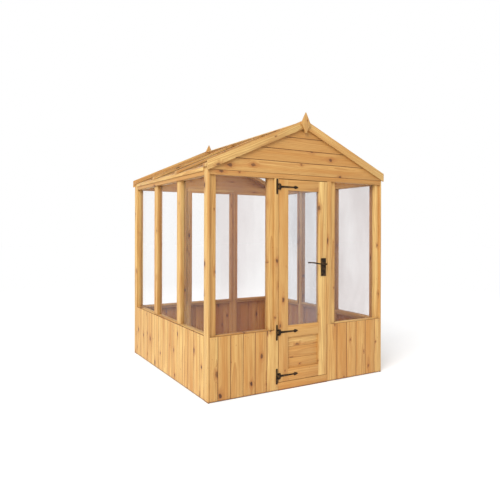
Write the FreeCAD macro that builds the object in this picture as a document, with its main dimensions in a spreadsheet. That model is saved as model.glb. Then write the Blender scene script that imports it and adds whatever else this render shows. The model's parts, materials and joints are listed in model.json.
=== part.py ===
import FreeCAD, Part
import math
import operator
import os
import Sketcher
from types import SimpleNamespace

# Potting shed with glazed walls and an apex roof. Millimetres and degrees.
# The origin is on the ground at the middle of the plan, the door is in the -Y wall and +Z is up.

SIZES = {
    # Walls
    "shed_width": 1800,         # outside of the corner strips
    "panel_width": 594,         # one of the three panels along a side wall
    "strip_thick": 14,          # boards and cover strips
    "frame_depth": 34,          # wall timbers, from inside to outside
    "stile_width": 44,          # upright at each edge of a panel
    "corner_stile": 55,         # upright at the ends of the front and rear walls
    "inner_stile": 52,          # upright of a front panel, beside the door post
    "sole_height": 44,
    "sill_level": 513,          # bottom of the window openings
    "sill_rail": 44,
    "head_level": 1766,         # top of the window openings
    "head_rail": 44,
    "post_width": 42,
    "corner_strip": 84,         # corner strip, along the side wall
    # Boards
    "ground_gap": 3,            # boards stop short of the ground
    "board_drop": 7,            # boards stop below the window openings
    "front_board": 112,         # cover width of an upright board on the front
    "gable_board": 105,         # cover width of a gable board
    "side_boards": 5,           # upright boards in each side or rear panel
    "tongue_length": 6,
    "tongue_thick": 4,
    "tongue_slack": 0.4,        # room for the tongue in its groove
    "board_vee": 2.5,           # chamfer on the front arrises of a board
    # Glazing
    "pane_thick": 4,
    "pane_lap": 20,             # pane and bead lap onto the frame
    "bead_thick": 12,
    # Roof
    "roof_pitch": 24.2,
    "eave_lift": 6,             # eave plate at its outer edge
    "bar_width": 44,
    "bar_depth": 44,
    "rebate_width": 10,
    "rebate_depth": 24,         # from the top of a bar down to the pane
    "rebate_slack": 2,          # pane edge to rebate
    "nib_reach": 26,            # bar ends run past the wall frame
    "strip_height": 12,         # glazing strip on top of a pane
    "roof_rail": 44,            # rail between bars, along the slope
    "fascia_thick": 22,
    "fascia_lap": 10,           # fascia laps down the wall head
    "gable_lap": 5,             # gable boards lap down the wall head
    "ridge_thick": 22,
    "ridge_depth": 92,
    "cap_width": 66,
    "cap_thick": 10,
    "barge_width": 66,
    "barge_thick": 18,
    "barge_lift": 17,           # bargeboards stand above the roof bars
    "barge_reach": 15,          # bargeboard ends run past the corner strips
    "finial_thick": 14,
    "finial_tip": 79,           # tip above the ridge line
    "finial_wide": 104,
    "finial_shoulder": 25,      # widest place below the ridge line
    "finial_foot": 95,          # foot below the ridge line
    "finial_toe": 18,           # width at the rounded foot
    "finial_sweep": 130,        # radius of the hollow sides below the shoulders
    # Door
    "door_width": 506,
    "door_thick": 34,
    "door_gap": 3,
    "door_head_gap": 5,
    "door_foot_gap": 4,
    "threshold_height": 65,
    "door_stile": 93,
    "top_rail": 91,
    "middle_rail": 98,
    "middle_rail_top": 533,
    "bottom_rail": 102,
    "door_lip": 14,             # timber in front of the pane and the panel
    "door_rebate": 12,
    "door_slack": 1,            # pane and boards inside their rebate
    "door_boards": 3,
    "tenon_length": 45,
    "tenon_thick": 11,
    "tenon_shoulder": 16,
    "stop_clear": 2,            # door stop to the inner handle plate
    "stop_gap": 1,
    # Hinges
    "hinge_metal": 2.5,
    "hinge_offset": 1.5,        # pin outside the edge of the door
    "knuckle_clear": 1,         # knuckle in front of the face of the door
    "knuckle_radius": 5.5,
    "knuckle_height": 50,
    "knuckle_gap": 0.4,
    "pin_radius": 2.5,
    "pin_slack": 0.05,
    "pin_head": 3.6,
    "pin_head_height": 3,
    "plate_width": 17,
    "plate_height": 120,
    "plate_inset": 9.5,         # near edge of the plate to the pin
    "strap_length": 197,
    "strap_flange": 12.5,       # tall root of the strap
    "strap_start": 7,           # root to the pin
    "strap_root": 18,
    "strap_neck": 11,
    "strap_round": 22,
    "spear_width": 28,
    "spear_length": 37,
    "spear_neck": 10,
    "spear_round": 62,
    "top_hinge_drop": 62,       # below the top of the door
    # Handle and latch
    "handle_level": 1040,
    "handle_backset": 41,
    "handle_plate_width": 54,
    "handle_plate_height": 156,
    "handle_plate_drop": 27,    # middle of the plate below the spindle
    "handle_plate_thick": 5,
    "handle_plate_bevel": 1.5,
    "hub_radius": 9,
    "hub_slack": 0.1,
    "rose_radius": 15,
    "rose_height": 7,
    "rose_gap": 0.3,
    "lever_stand": 40,          # axis of the lever in front of the plate
    "lever_length": 190,
    "lever_rise": 20,
    "lever_radius": 5.5,        # half the height of the arm
    "lever_thick": 9,
    "lever_knob": 7.5,
    "lever_tip": 4,             # where the rounded end runs into the arm
    "knob_radius": 21,          # knob inside the door
    "knob_stand": 24,
    "knob_slope": 9,
    "knob_rim": 8,
    "knob_crown": 6,
    "spindle_side": 8,
    "spindle_grip": 15,         # spindle inside each hub
    "spindle_bore": 20,
    "case_tail": 22,            # latch case behind the spindle
    "case_height": 80,
    "case_thick": 14,
    "case_wall": 1.5,
    "case_bore": 14,
    "forend_thick": 3,
    "forend_width": 22,
    "forend_height": 150,
    "latch_reach": 8,           # latch past the edge of the door
    "latch_height": 14,
    "latch_side": 0.5,          # latch to the walls of its case
    "latch_body": 25,
    "latch_slack": 0.3,
    "latch_bevel": 5,
    "tail_thick": 4,
    "tail_height": 6,
    "follower_radius": 10,
    "follower_reach": 17.5,
    "follower_finger": 5,
    "follower_thick": 9,
    "hook_gap": 2.5,            # finger to the hook of the latch
    "hook_width": 4,
    "keep_clear": 2,            # end of the latch to the bottom of its hollow
    "keep_room": 3,             # hollow above, below and behind the latch
    "keep_thick": 1.5,
    "keep_width": 16,
    "keep_height": 50,
}

os.makedirs("parts", exist_ok=True)
doc = FreeCAD.newDocument("potting_shed")
sheet = doc.addObject("Spreadsheet::Sheet", "Sizes")
places = doc.addObject("Spreadsheet::Sheet", "Places")
nodes = []
place_names = []


class Size:
    """A length or angle: its number, and the expression that ties it to the sheet."""

    def __init__(self, text, value):
        self.text = text
        self.value = value

    def __add__(self, other):
        return combine(self, "+", other)

    def __radd__(self, other):
        return combine(other, "+", self)

    def __sub__(self, other):
        return combine(self, "-", other)

    def __rsub__(self, other):
        return combine(other, "-", self)

    def __mul__(self, other):
        return combine(self, "*", other)

    def __rmul__(self, other):
        return combine(other, "*", self)

    def __truediv__(self, other):
        return combine(self, "/", other)

    def __neg__(self):
        return combine(0, "-", self)


SIGNS = {"+": operator.add, "-": operator.sub, "*": operator.mul, "/": operator.truediv}


def as_size(thing):
    """A plain number taken as a size."""
    return thing if isinstance(thing, Size) else Size(repr(thing), thing)


def combine(left, sign, right):
    """Two sizes joined by a sign, as a number and as an expression."""
    left = as_size(left)
    right = as_size(right)
    return Size(f"({left.text} {sign} {right.text})", SIGNS[sign](left.value, right.value))


def place(name, size):
    """Keep a worked-out size in the second sheet, under its own name."""
    place_names.append(name)
    row = len(place_names)
    places.set(f"A{row}", name)
    places.set(f"B{row}", f"={size.text}")
    places.setAlias(f"B{row}", name)
    return Size(f"Places.{name}", size.value)


def bind(target, prop, size):
    """Tie a property of a document object to the sheet."""
    target.setExpression(prop, as_size(size).text)


for row, (name, number) in enumerate(SIZES.items(), start=1):
    sheet.set(f"A{row}", name)
    sheet.set(f"B{row}", str(number))
    sheet.setAlias(f"B{row}", name)
s = SimpleNamespace(**{name: Size(f"Sizes.{name}", number) for name, number in SIZES.items()})

# Places that several pieces share
half_width = place("half_width", s.shed_width / 2)
side_out = place("side_out", half_width - s.strip_thick)
side_in = place("side_in", side_out - s.frame_depth)
end_in = place("end_in", s.panel_width * 3 / 2)
end_out = place("end_out", end_in + s.frame_depth)
end_face = place("end_face", end_out + s.strip_thick)
wall_top = place("wall_top", s.head_level + s.head_rail)
strip_edge = place("strip_edge", end_face - s.corner_strip)
rear_panel = place("rear_panel", side_out * 2 / 3)
door_half = place("door_half", s.door_width / 2)
post_in = place("post_in", door_half + s.door_gap)
post_out = place("post_out", post_in + s.post_width)
board_top = place("board_top", s.sill_level - s.board_drop)
gable_bottom = place("gable_bottom", wall_top - s.gable_lap)
fascia_bottom = place("fascia_bottom", wall_top - s.fascia_lap)
pitch = math.radians(s.roof_pitch.value)
slope = place("slope", Size("tan(Sizes.roof_pitch)", math.tan(pitch)))
cosine = place("cosine", Size("cos(Sizes.roof_pitch)", math.cos(pitch)))
sine = place("sine", Size("sin(Sizes.roof_pitch)", math.sin(pitch)))
ridge_level = place("ridge_level", wall_top + s.eave_lift + s.bar_depth / cosine + slope * side_out)
nib_end = place("nib_end", side_out + s.nib_reach)
barge_end = place("barge_end", half_width + s.barge_reach)
leaf_bottom = place("leaf_bottom", s.threshold_height + s.door_foot_gap)
leaf_top = place("leaf_top", s.head_level - s.door_head_gap)
leaf_back = place("leaf_back", end_face - s.door_thick)
glass_half = place("glass_half", door_half - s.door_stile)
glass_top = place("glass_top", leaf_top - s.top_rail)
panel_top = place("panel_top", s.middle_rail_top - s.middle_rail)
panel_bottom = place("panel_bottom", leaf_bottom + s.bottom_rail)
hinge_x = place("hinge_x", -(door_half + s.hinge_offset))
knuckle_stand = place("knuckle_stand", s.knuckle_radius + s.knuckle_clear)
handle_x = place("handle_x", door_half - s.handle_backset)
leaf_middle = place("leaf_middle", end_face - s.door_thick / 2)
case_end = place("case_end", door_half - s.forend_thick)
case_start = place("case_start", handle_x - s.case_tail)
latch_thick = place("latch_thick", s.case_thick - (s.case_wall + s.latch_side) * 2)
latch_nose = place("latch_nose", door_half + s.latch_reach)
hinge_levels = (
    place("low_hinge", leaf_bottom + s.bottom_rail / 2),
    place("middle_hinge", s.middle_rail_top - s.middle_rail / 2),
    place("top_hinge", leaf_top - s.top_hinge_drop),
)


def below_roof(run, depth=0):
    """Level of the plane that lies at a depth under the tops of the bars, at a run from the ridge."""
    return ridge_level - slope * run - as_size(depth) / cosine


def node(piece, label):
    """Name a finished sub-part."""
    piece.Label = label
    nodes.append(piece)
    return piece


def group(label, members):
    """A sub-part of several separate solids."""
    pieces = doc.addObject("Part::Compound", label)
    pieces.Links = members
    return node(pieces, label)


def copy(source, shift=(0, 0, 0), half_turn=False):
    """The same piece again, moved, or turned half round the upright axis."""
    again = doc.addObject("App::Link", source.Name + "_copy")
    again.LinkedObject = source
    again.LinkTransform = True
    angle = 180 if half_turn else 0
    again.Placement = FreeCAD.Placement(FreeCAD.Vector(), FreeCAD.Rotation(FreeCAD.Vector(0, 0, 1), angle))
    for axis, size in zip("xyz", shift):
        bind(again, f"Placement.Base.{axis}", size)
    return again


def batten(name, x, y, z):
    """A square-cut timber between two places along each axis."""
    timber = doc.addObject("Part::Box", name)
    for (low, high), side, axis in zip((x, y, z), ("Length", "Width", "Height"), "xyz"):
        bind(timber, side, high - as_size(low))
        bind(timber, f"Placement.Base.{axis}", low)
    return timber


def cut(name, base, tools):
    """A timber with other forms taken out of it."""
    for number, tool in enumerate(tools):
        trimmed = doc.addObject("Part::Cut", f"{name}_cut{number}")
        trimmed.Base = base
        trimmed.Tool = tool
        base = trimmed
    return base


def span(side, low, high):
    """A stretch on the right-hand side, or its mirror image on the left."""
    return (low, high) if side > 0 else (-as_size(high), -as_size(low))


def arc_between(start, end, radius):
    """A circular arc; a positive radius bulges to the right of the way it is drawn."""
    chord = end - start
    left = FreeCAD.Vector(-chord.y, chord.x, 0)
    left.normalize()
    height = math.sqrt(radius * radius - chord.Length * chord.Length / 4)
    centre = (start + end) * 0.5 + left * math.copysign(height, radius)
    first, last = (start, end) if radius > 0 else (end, start)
    angles = [math.atan2(point.y - centre.y, point.x - centre.x) for point in (first, last)]
    circle = Part.Circle(centre, FreeCAD.Vector(0, 0, 1), abs(radius))
    return Part.ArcOfCircle(circle, angles[0], angles[1])


def sketch(body, plane, corners, offset=None):
    """A closed outline tied to the sheet: (x, y) corners, or (x, y, radius) where an arc follows."""
    drawing = body.newObject("Sketcher::SketchObject", body.Name + "_outline")
    drawing.AttachmentSupport = [(f, "") for f in body.Origin.OriginFeatures if f.Role == plane]
    drawing.MapMode = "FlatFace"
    if offset is not None:
        bind(drawing, "AttachmentOffset.Base.z", offset)
    corners = [tuple(as_size(value) for value in corner) for corner in corners]
    points = [FreeCAD.Vector(corner[0].value, corner[1].value, 0) for corner in corners]
    ends = []
    for number, corner in enumerate(corners):
        following = points[(number + 1) % len(points)]
        if len(corner) == 3:
            drawing.addGeometry(arc_between(points[number], following, corner[2].value))
            ends.append((1, 2) if corner[2].value > 0 else (2, 1))
        else:
            drawing.addGeometry(Part.LineSegment(points[number], following))
            ends.append((1, 2))
    rules = []
    ties = []
    for number, corner in enumerate(corners):
        after = (number + 1) % len(corners)
        rules.append(Sketcher.Constraint("Coincident", number, ends[number][1], after, ends[after][0]))
        for kind, size in zip(("DistanceX", "DistanceY"), corner):
            ties.append((len(rules), size))
            rules.append(Sketcher.Constraint(kind, -1, 1, number, ends[number][0], size.value))
        if len(corner) == 3:
            radius = corner[2] if corner[2].value > 0 else -corner[2]
            ties.append((len(rules), radius))
            rules.append(Sketcher.Constraint("Radius", number, radius.value))
    drawing.addConstraint(rules)
    for number, size in ties:
        bind(drawing, f"Constraints[{number}]", size)
    return drawing


def disc(body, plane, centre, radius, offset=None):
    """A circle tied to the sheet."""
    drawing = body.newObject("Sketcher::SketchObject", body.Name + "_circle")
    drawing.AttachmentSupport = [(f, "") for f in body.Origin.OriginFeatures if f.Role == plane]
    drawing.MapMode = "FlatFace"
    if offset is not None:
        bind(drawing, "AttachmentOffset.Base.z", offset)
    x, y, radius = (as_size(value) for value in (*centre, radius))
    middle = FreeCAD.Vector(x.value, y.value, 0)
    drawing.addGeometry(Part.Circle(middle, FreeCAD.Vector(0, 0, 1), radius.value))
    drawing.addConstraint([
        Sketcher.Constraint("DistanceX", -1, 1, 0, 3, x.value),
        Sketcher.Constraint("DistanceY", -1, 1, 0, 3, y.value),
        Sketcher.Constraint("Radius", 0, radius.value),
    ])
    for number, size in enumerate((x, y, radius)):
        bind(drawing, f"Constraints[{number}]", size)
    return drawing


def pad(body, outline, length, back=False):
    """Thicken an outline into the body."""
    feature = body.newObject("PartDesign::Pad", body.Name + "_pad")
    feature.Profile = outline
    feature.Reversed = back
    bind(feature, "Length", length)
    return feature


def pocket(body, outline, length, back=False):
    """Cut an outline out of the body."""
    feature = body.newObject("PartDesign::Pocket", body.Name + "_pocket")
    feature.Profile = outline
    feature.Reversed = back
    bind(feature, "Length", length)
    return feature


# A plane's normal axis, and which end of a span an outline on it is thickened from
NORMALS = {"XY_Plane": ("z", 0), "XZ_Plane": ("y", 1), "YZ_Plane": ("x", 0)}


def prism(name, plane, corners, along):
    """A piece of one section, standing between two places along the normal of its plane."""
    body = doc.addObject("PartDesign::Body", name)
    low, high = (as_size(value) for value in along)
    pad(body, sketch(body, plane, corners), high - low)
    axis, end = NORMALS[plane]
    bind(body, f"Placement.Base.{axis}", (low, high)[end])
    return body


def sloped(name, side, run, depth, along):
    """A piece that lies along one roof slope, with plumb ends."""
    corners = [
        (run[0] * side, below_roof(run[0], depth[0])),
        (run[1] * side, below_roof(run[1], depth[0])),
        (run[1] * side, below_roof(run[1], depth[1])),
        (run[0] * side, below_roof(run[0], depth[1])),
    ]
    return prism(name, "XZ_Plane", corners, along)


def wall_batten(wall, name, run, depth, level):
    """A timber of a wall: along the wall, outwards from the middle of the shed, and upwards."""
    if wall == "right":
        return batten(name, depth, run, level)
    if wall == "rear":
        return batten(name, run, depth, level)
    return batten(name, run, span(-1, *depth), level)


def panel_frame(wall, name, run, stiles, depth):
    """Frame of one wall panel: sole plate, head rail, two stiles and the sill rail between them."""
    low, high = run
    first = low + stiles[0]
    last = high - stiles[1]
    upright = (s.sole_height, s.head_level)
    return [
        wall_batten(wall, f"{name}_sole", run, depth, (0, s.sole_height)),
        wall_batten(wall, f"{name}_head", run, depth, (s.head_level, wall_top)),
        wall_batten(wall, f"{name}_stile_a", (low, first), depth, upright),
        wall_batten(wall, f"{name}_stile_b", (last, high), depth, upright),
        wall_batten(wall, f"{name}_sill", (first, last), depth, (s.sill_level - s.sill_rail, s.sill_level)),
    ]


def window(wall, name, run, inner):
    """Pane on the inside of a window opening, and the four beads that hold it."""
    low = run[0] - s.pane_lap
    high = run[1] + s.pane_lap
    bottom = s.sill_level - s.pane_lap
    top = s.head_level + s.pane_lap
    pane_in = inner - s.pane_thick
    bead = (pane_in - s.bead_thick, pane_in)
    pane = wall_batten(wall, f"{name}_pane", (low, high), (pane_in, inner), (bottom, top))
    beads = [
        wall_batten(wall, f"{name}_bead_a", (low, run[0]), bead, (bottom, top)),
        wall_batten(wall, f"{name}_bead_b", (run[1], high), bead, (bottom, top)),
        wall_batten(wall, f"{name}_bead_low", run, bead, (bottom, s.sill_level)),
        wall_batten(wall, f"{name}_bead_top", run, bead, (s.head_level, top)),
    ]
    return pane, beads


def board_section(width, tongued):
    """Section of a tongued and grooved board: across it from its grooved edge, and from back to face."""
    middle = s.strip_thick / 2
    tongue = (middle - s.tongue_thick / 2, middle + s.tongue_thick / 2)
    groove = (tongue[0] - s.tongue_slack / 2, tongue[1] + s.tongue_slack / 2)
    groove_depth = s.tongue_length + s.tongue_slack
    points = [(0, 0), (width, 0)]
    if tongued:
        tip = width + s.tongue_length
        points += [(width, tongue[0]), (tip, tongue[0]), (tip, tongue[1]), (width, tongue[1])]
        points += [(width, s.strip_thick - s.board_vee), (width - s.board_vee, s.strip_thick)]
    else:
        points += [(width, s.strip_thick)]
    points += [(s.board_vee, s.strip_thick), (0, s.strip_thick - s.board_vee)]
    points += [(0, groove[1]), (groove_depth, groove[1]), (groove_depth, groove[0]), (0, groove[0])]
    return [tuple(as_size(value) for value in point) for point in points]


def upright_boards(wall, name, start, width, cover, out, top, side=1):
    """Upright boards side by side over a width of wall; the last is ripped to what is left."""
    count = math.ceil(width.value / cover.value - 0.01)

    def stand(label, section, first):
        corners = []
        for across, proud in section:
            run = first + across * side
            depth = out + proud
            plan = {"right": (depth, run), "rear": (run, depth), "front": (run, -depth)}
            corners.append(plan[wall])
        return prism(label, "XY_Plane", corners, (s.ground_gap, top))

    whole = stand(f"{name}_board", board_section(cover, True), start)
    boards = [whole]
    for number in range(1, count - 1):
        step = cover * number * side
        shift = (0, step, 0) if wall == "right" else (step, 0, 0)
        boards.append(copy(whole, shift))
    rest = width - cover * (count - 1)
    last = start + cover * ((count - 1) * side)
    boards.append(stand(f"{name}_ripped", board_section(rest, False), last))
    return boards


def lying_boards(name, bottom, height, cover, back, along):
    """Boards laid one above another on the front, tongues up; the last fills what is left."""
    count = math.ceil(height.value / cover.value - 0.01)
    boards = []
    for number in range(count):
        low = bottom + cover * number
        last = number == count - 1
        section = board_section(height - cover * number if last else cover, not last)
        corners = [(-(back + proud), low + up) for up, proud in section]
        boards.append(prism(f"{name}_board{number}", "YZ_Plane", corners, along))
    return boards


def build_side_walls():
    """Right wall of three panels, and the left wall as the same wall turned round."""
    depth = (side_in, side_out)
    frame = []
    panes = []
    beads = []
    boards = []
    edges = [s.panel_width * share for share in (-1.5, -0.5, 0.5, 1.5)]
    for number in range(3):
        run = (edges[number], edges[number + 1])
        name = f"side_panel{number}"
        frame += panel_frame("right", name, run, (s.stile_width, s.stile_width), depth)
        opening = (run[0] + s.stile_width, run[1] - s.stile_width)
        pane, held = window("right", name, opening, side_in)
        panes.append(pane)
        beads += held
    cover = s.panel_width / s.side_boards
    end_run = strip_edge + edges[1]
    runs = ((-strip_edge, end_run), (edges[1], s.panel_width), (edges[2], end_run))
    for number, (start, width) in enumerate(runs):
        boards += upright_boards("right", f"side{number}", start, width, cover, side_out, board_top)
    right = (
        ("wall_frame", group("right_wall_frame", frame)),
        ("window_panes", group("right_window_panes", panes)),
        ("wall_cladding", group("right_wall_cladding", boards)),
    )
    for label, source in right:
        group(f"left_{label}", [copy(source, half_turn=True)])
    return beads + [copy(bead, half_turn=True) for bead in beads]


def build_rear_wall():
    """Rear wall of three panels with the same windows and boards."""
    depth = (end_in, end_out)
    frame = []
    panes = []
    beads = []
    boards = []
    stiles = (s.corner_stile, s.stile_width, s.stile_width, s.corner_stile)
    for number in range(3):
        run = (rear_panel * number - side_out, rear_panel * (number + 1) - side_out)
        name = f"rear_panel{number}"
        edge_stiles = (stiles[0] if number == 0 else stiles[1], stiles[3] if number == 2 else stiles[2])
        frame += panel_frame("rear", name, run, edge_stiles, depth)
        opening = (run[0] + edge_stiles[0], run[1] - edge_stiles[1])
        pane, held = window("rear", name, opening, end_in)
        panes.append(pane)
        beads += held
        cover = rear_panel / s.side_boards
        boards += upright_boards("rear", name, run[0], rear_panel, cover, end_out, board_top)
    group("rear_wall_frame", frame)
    group("rear_window_panes", panes)
    group("rear_wall_cladding", boards)
    return beads


def build_front_wall():
    """A panel on each side of the door, clad up to the door's own edge."""
    depth = (end_in, end_out)
    panes = []
    beads = []
    for side, hand in ((-1, "left"), (1, "right")):
        run = span(side, post_out, side_out)
        stiles = (s.inner_stile, s.corner_stile)[::side]
        frame = panel_frame("front", f"front_{hand}", run, stiles, depth)
        opening = (run[0] + stiles[0], run[1] - stiles[1])
        pane, held = window("front", f"front_{hand}", opening, end_in)
        panes.append(pane)
        beads += held
        group(f"front_{hand}_frame", frame)
        width = side_out - post_in
        start = post_in * side
        name = f"front_{hand}"
        boards = upright_boards("front", name, start, width, s.front_board, end_out, board_top, side)
        group(f"front_{hand}_cladding", boards)
    group("front_window_panes", panes)
    return beads


def build_door_frame():
    """Posts, threshold and stops round the door; the lock side has a hollow for the latch, open in front."""
    depth = (-end_out, -end_in)
    upright = (0, s.head_level)
    hinge_post = batten("hinge_post", span(-1, post_in, post_out), depth, upright)
    node(hinge_post, "door_hinge_post")
    latch_half = s.latch_height / 2 + s.keep_room
    hollow_level = (s.handle_level - latch_half, s.handle_level + latch_half)
    latch_back = latch_thick / 2 + s.keep_room - leaf_middle
    hollow_run = (post_in, latch_nose + s.keep_clear)
    hollow = batten("keep_hollow", hollow_run, (-end_face, latch_back), hollow_level)
    plate_level = (s.handle_level - s.keep_height / 2, s.handle_level + s.keep_height / 2)
    plate_run = (post_in, post_in + s.keep_thick)
    plate = batten("latch_keep", plate_run, (latch_back, latch_back + s.keep_width), plate_level)
    lock_post = batten("lock_post", (post_in, post_out), depth, upright)
    node(cut("lock_post", lock_post, (hollow, plate)), "door_lock_post")
    node(plate, "latch_keep")
    strips = []
    for side, tools in ((-1, ()), (1, (hollow,))):
        strip = batten(
            f"post_strip{side + 1}",
            span(side, post_in, post_out),
            (-end_face, -end_out),
            (board_top, s.head_level),
        )
        strips.append(cut(f"post_strip{side + 1}", strip, tools))
    group("door_post_strips", strips)
    sill = batten("threshold", (-post_in, post_in), (-end_face, -leaf_back), (0, s.threshold_height))
    node(sill, "threshold")
    stop_depth = (s.stop_gap - leaf_back, -end_in)
    stop_in = handle_x + s.handle_plate_width / 2 + s.stop_clear
    stop_level = (s.threshold_height, s.head_level)
    stops = [
        batten(f"stop{side + 1}", span(side, stop_in, post_in), stop_depth, stop_level)
        for side in (-1, 1)
    ]
    head = (s.head_level - (post_in - stop_in), s.head_level)
    stops.append(batten("stop_head", (-stop_in, stop_in), stop_depth, head))
    stops.append(batten("door_head_rail", (-post_out, post_out), depth, (s.head_level, wall_top)))
    group("door_stops", stops)


def build_cover_strips():
    """Strips over the corners and the wall heads."""
    thick = (side_out, half_width)
    strip_top = below_roof(half_width, s.rebate_depth)
    corners = []
    for end, ys in (("front", (-end_face, -strip_edge)), ("rear", (strip_edge, end_face))):
        for side in (-1, 1):
            name = f"{end}_corner{side + 1}"
            corners.append(batten(name, span(side, *thick), ys, (0, strip_top)))
    group("corner_strips", corners)
    ends = (s.head_level, gable_bottom)
    heads = [
        batten("front_head", (-side_out, side_out), (-end_face, -end_out), ends),
        batten("rear_head", (-side_out, side_out), (end_out, end_face), ends),
    ]
    for side in (-1, 1):
        level = (s.head_level, fascia_bottom)
        heads.append(batten("side_head", span(side, *thick), (-strip_edge, strip_edge), level))
    group("head_strips", heads)


def build_gables():
    """Front gable of boards on a frame, with bargeboards and finial, and the rear one turned round."""
    along = (-end_out, -end_in)
    rail_top = wall_top + s.stile_width
    seat_run = (ridge_level - s.bar_depth / cosine - rail_top) / slope
    frame = [batten("gable_rail", (-side_out, side_out), along, (wall_top, rail_top))]
    for side in (-1, 1):
        corners = [
            (0, ridge_level),
            (nib_end * side, below_roof(nib_end)),
            (nib_end * side, below_roof(nib_end, s.rebate_depth)),
            (side_out * side, below_roof(side_out, s.rebate_depth)),
            (side_out * side, rail_top),
            (seat_run * side, rail_top),
            (0, below_roof(0, s.bar_depth)),
        ]
        frame.append(prism(f"gable_rake{side + 1}", "XZ_Plane", corners, along))
    half = s.stile_width / 2
    king = [
        (-half, rail_top),
        (half, rail_top),
        (half, below_roof(half, s.bar_depth)),
        (0, below_roof(0, s.bar_depth)),
        (-half, below_roof(half, s.bar_depth)),
    ]
    frame.append(prism("king_post", "XZ_Plane", king, along))
    height = ridge_level - gable_bottom
    along_wall = (-side_out, side_out)
    boards = lying_boards("gable", gable_bottom, height, s.gable_board, end_out, along_wall)
    triangle = [
        (-side_out, gable_bottom),
        (side_out, gable_bottom),
        (side_out, below_roof(side_out)),
        (0, ridge_level),
        (-side_out, below_roof(side_out)),
    ]
    outline = prism("gable_triangle", "XZ_Plane", triangle, (-end_face, -end_out))
    cut_boards = []
    for number, board in enumerate(boards):
        trimmed = doc.addObject("Part::Common", f"gable_cut{number}")
        trimmed.Base = board
        trimmed.Tool = outline
        cut_boards.append(trimmed)
    barge_face = end_face + s.barge_thick
    barge_run = (as_size(0), barge_end)
    barge_depth = (-s.barge_lift, s.barge_width - s.barge_lift)
    barges = [
        sloped(f"barge{side + 1}", side, barge_run, barge_depth, (-barge_face, -end_face))
        for side in (-1, 1)
    ]
    shoulder = ridge_level - s.finial_shoulder
    foot = ridge_level - s.finial_foot
    wide = s.finial_wide / 2
    toe = s.finial_toe / 2
    finial = [
        (0, ridge_level + s.finial_tip),
        (-wide, shoulder, -s.finial_sweep),
        (-toe, foot, s.finial_toe / 2 * 1.2),
        (toe, foot, -s.finial_sweep),
        (wide, shoulder),
    ]
    drop = prism("finial", "XZ_Plane", finial, (-(barge_face + s.finial_thick), -barge_face))
    front = (
        ("gable_frame", group("front_gable_frame", frame)),
        ("gable_boards", group("front_gable_boards", cut_boards)),
        ("bargeboards", group("front_bargeboards", barges)),
        ("finial", node(drop, "front_finial")),
    )
    for label, source in front:
        group(f"rear_{label}", [copy(source, half_turn=True)])


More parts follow.
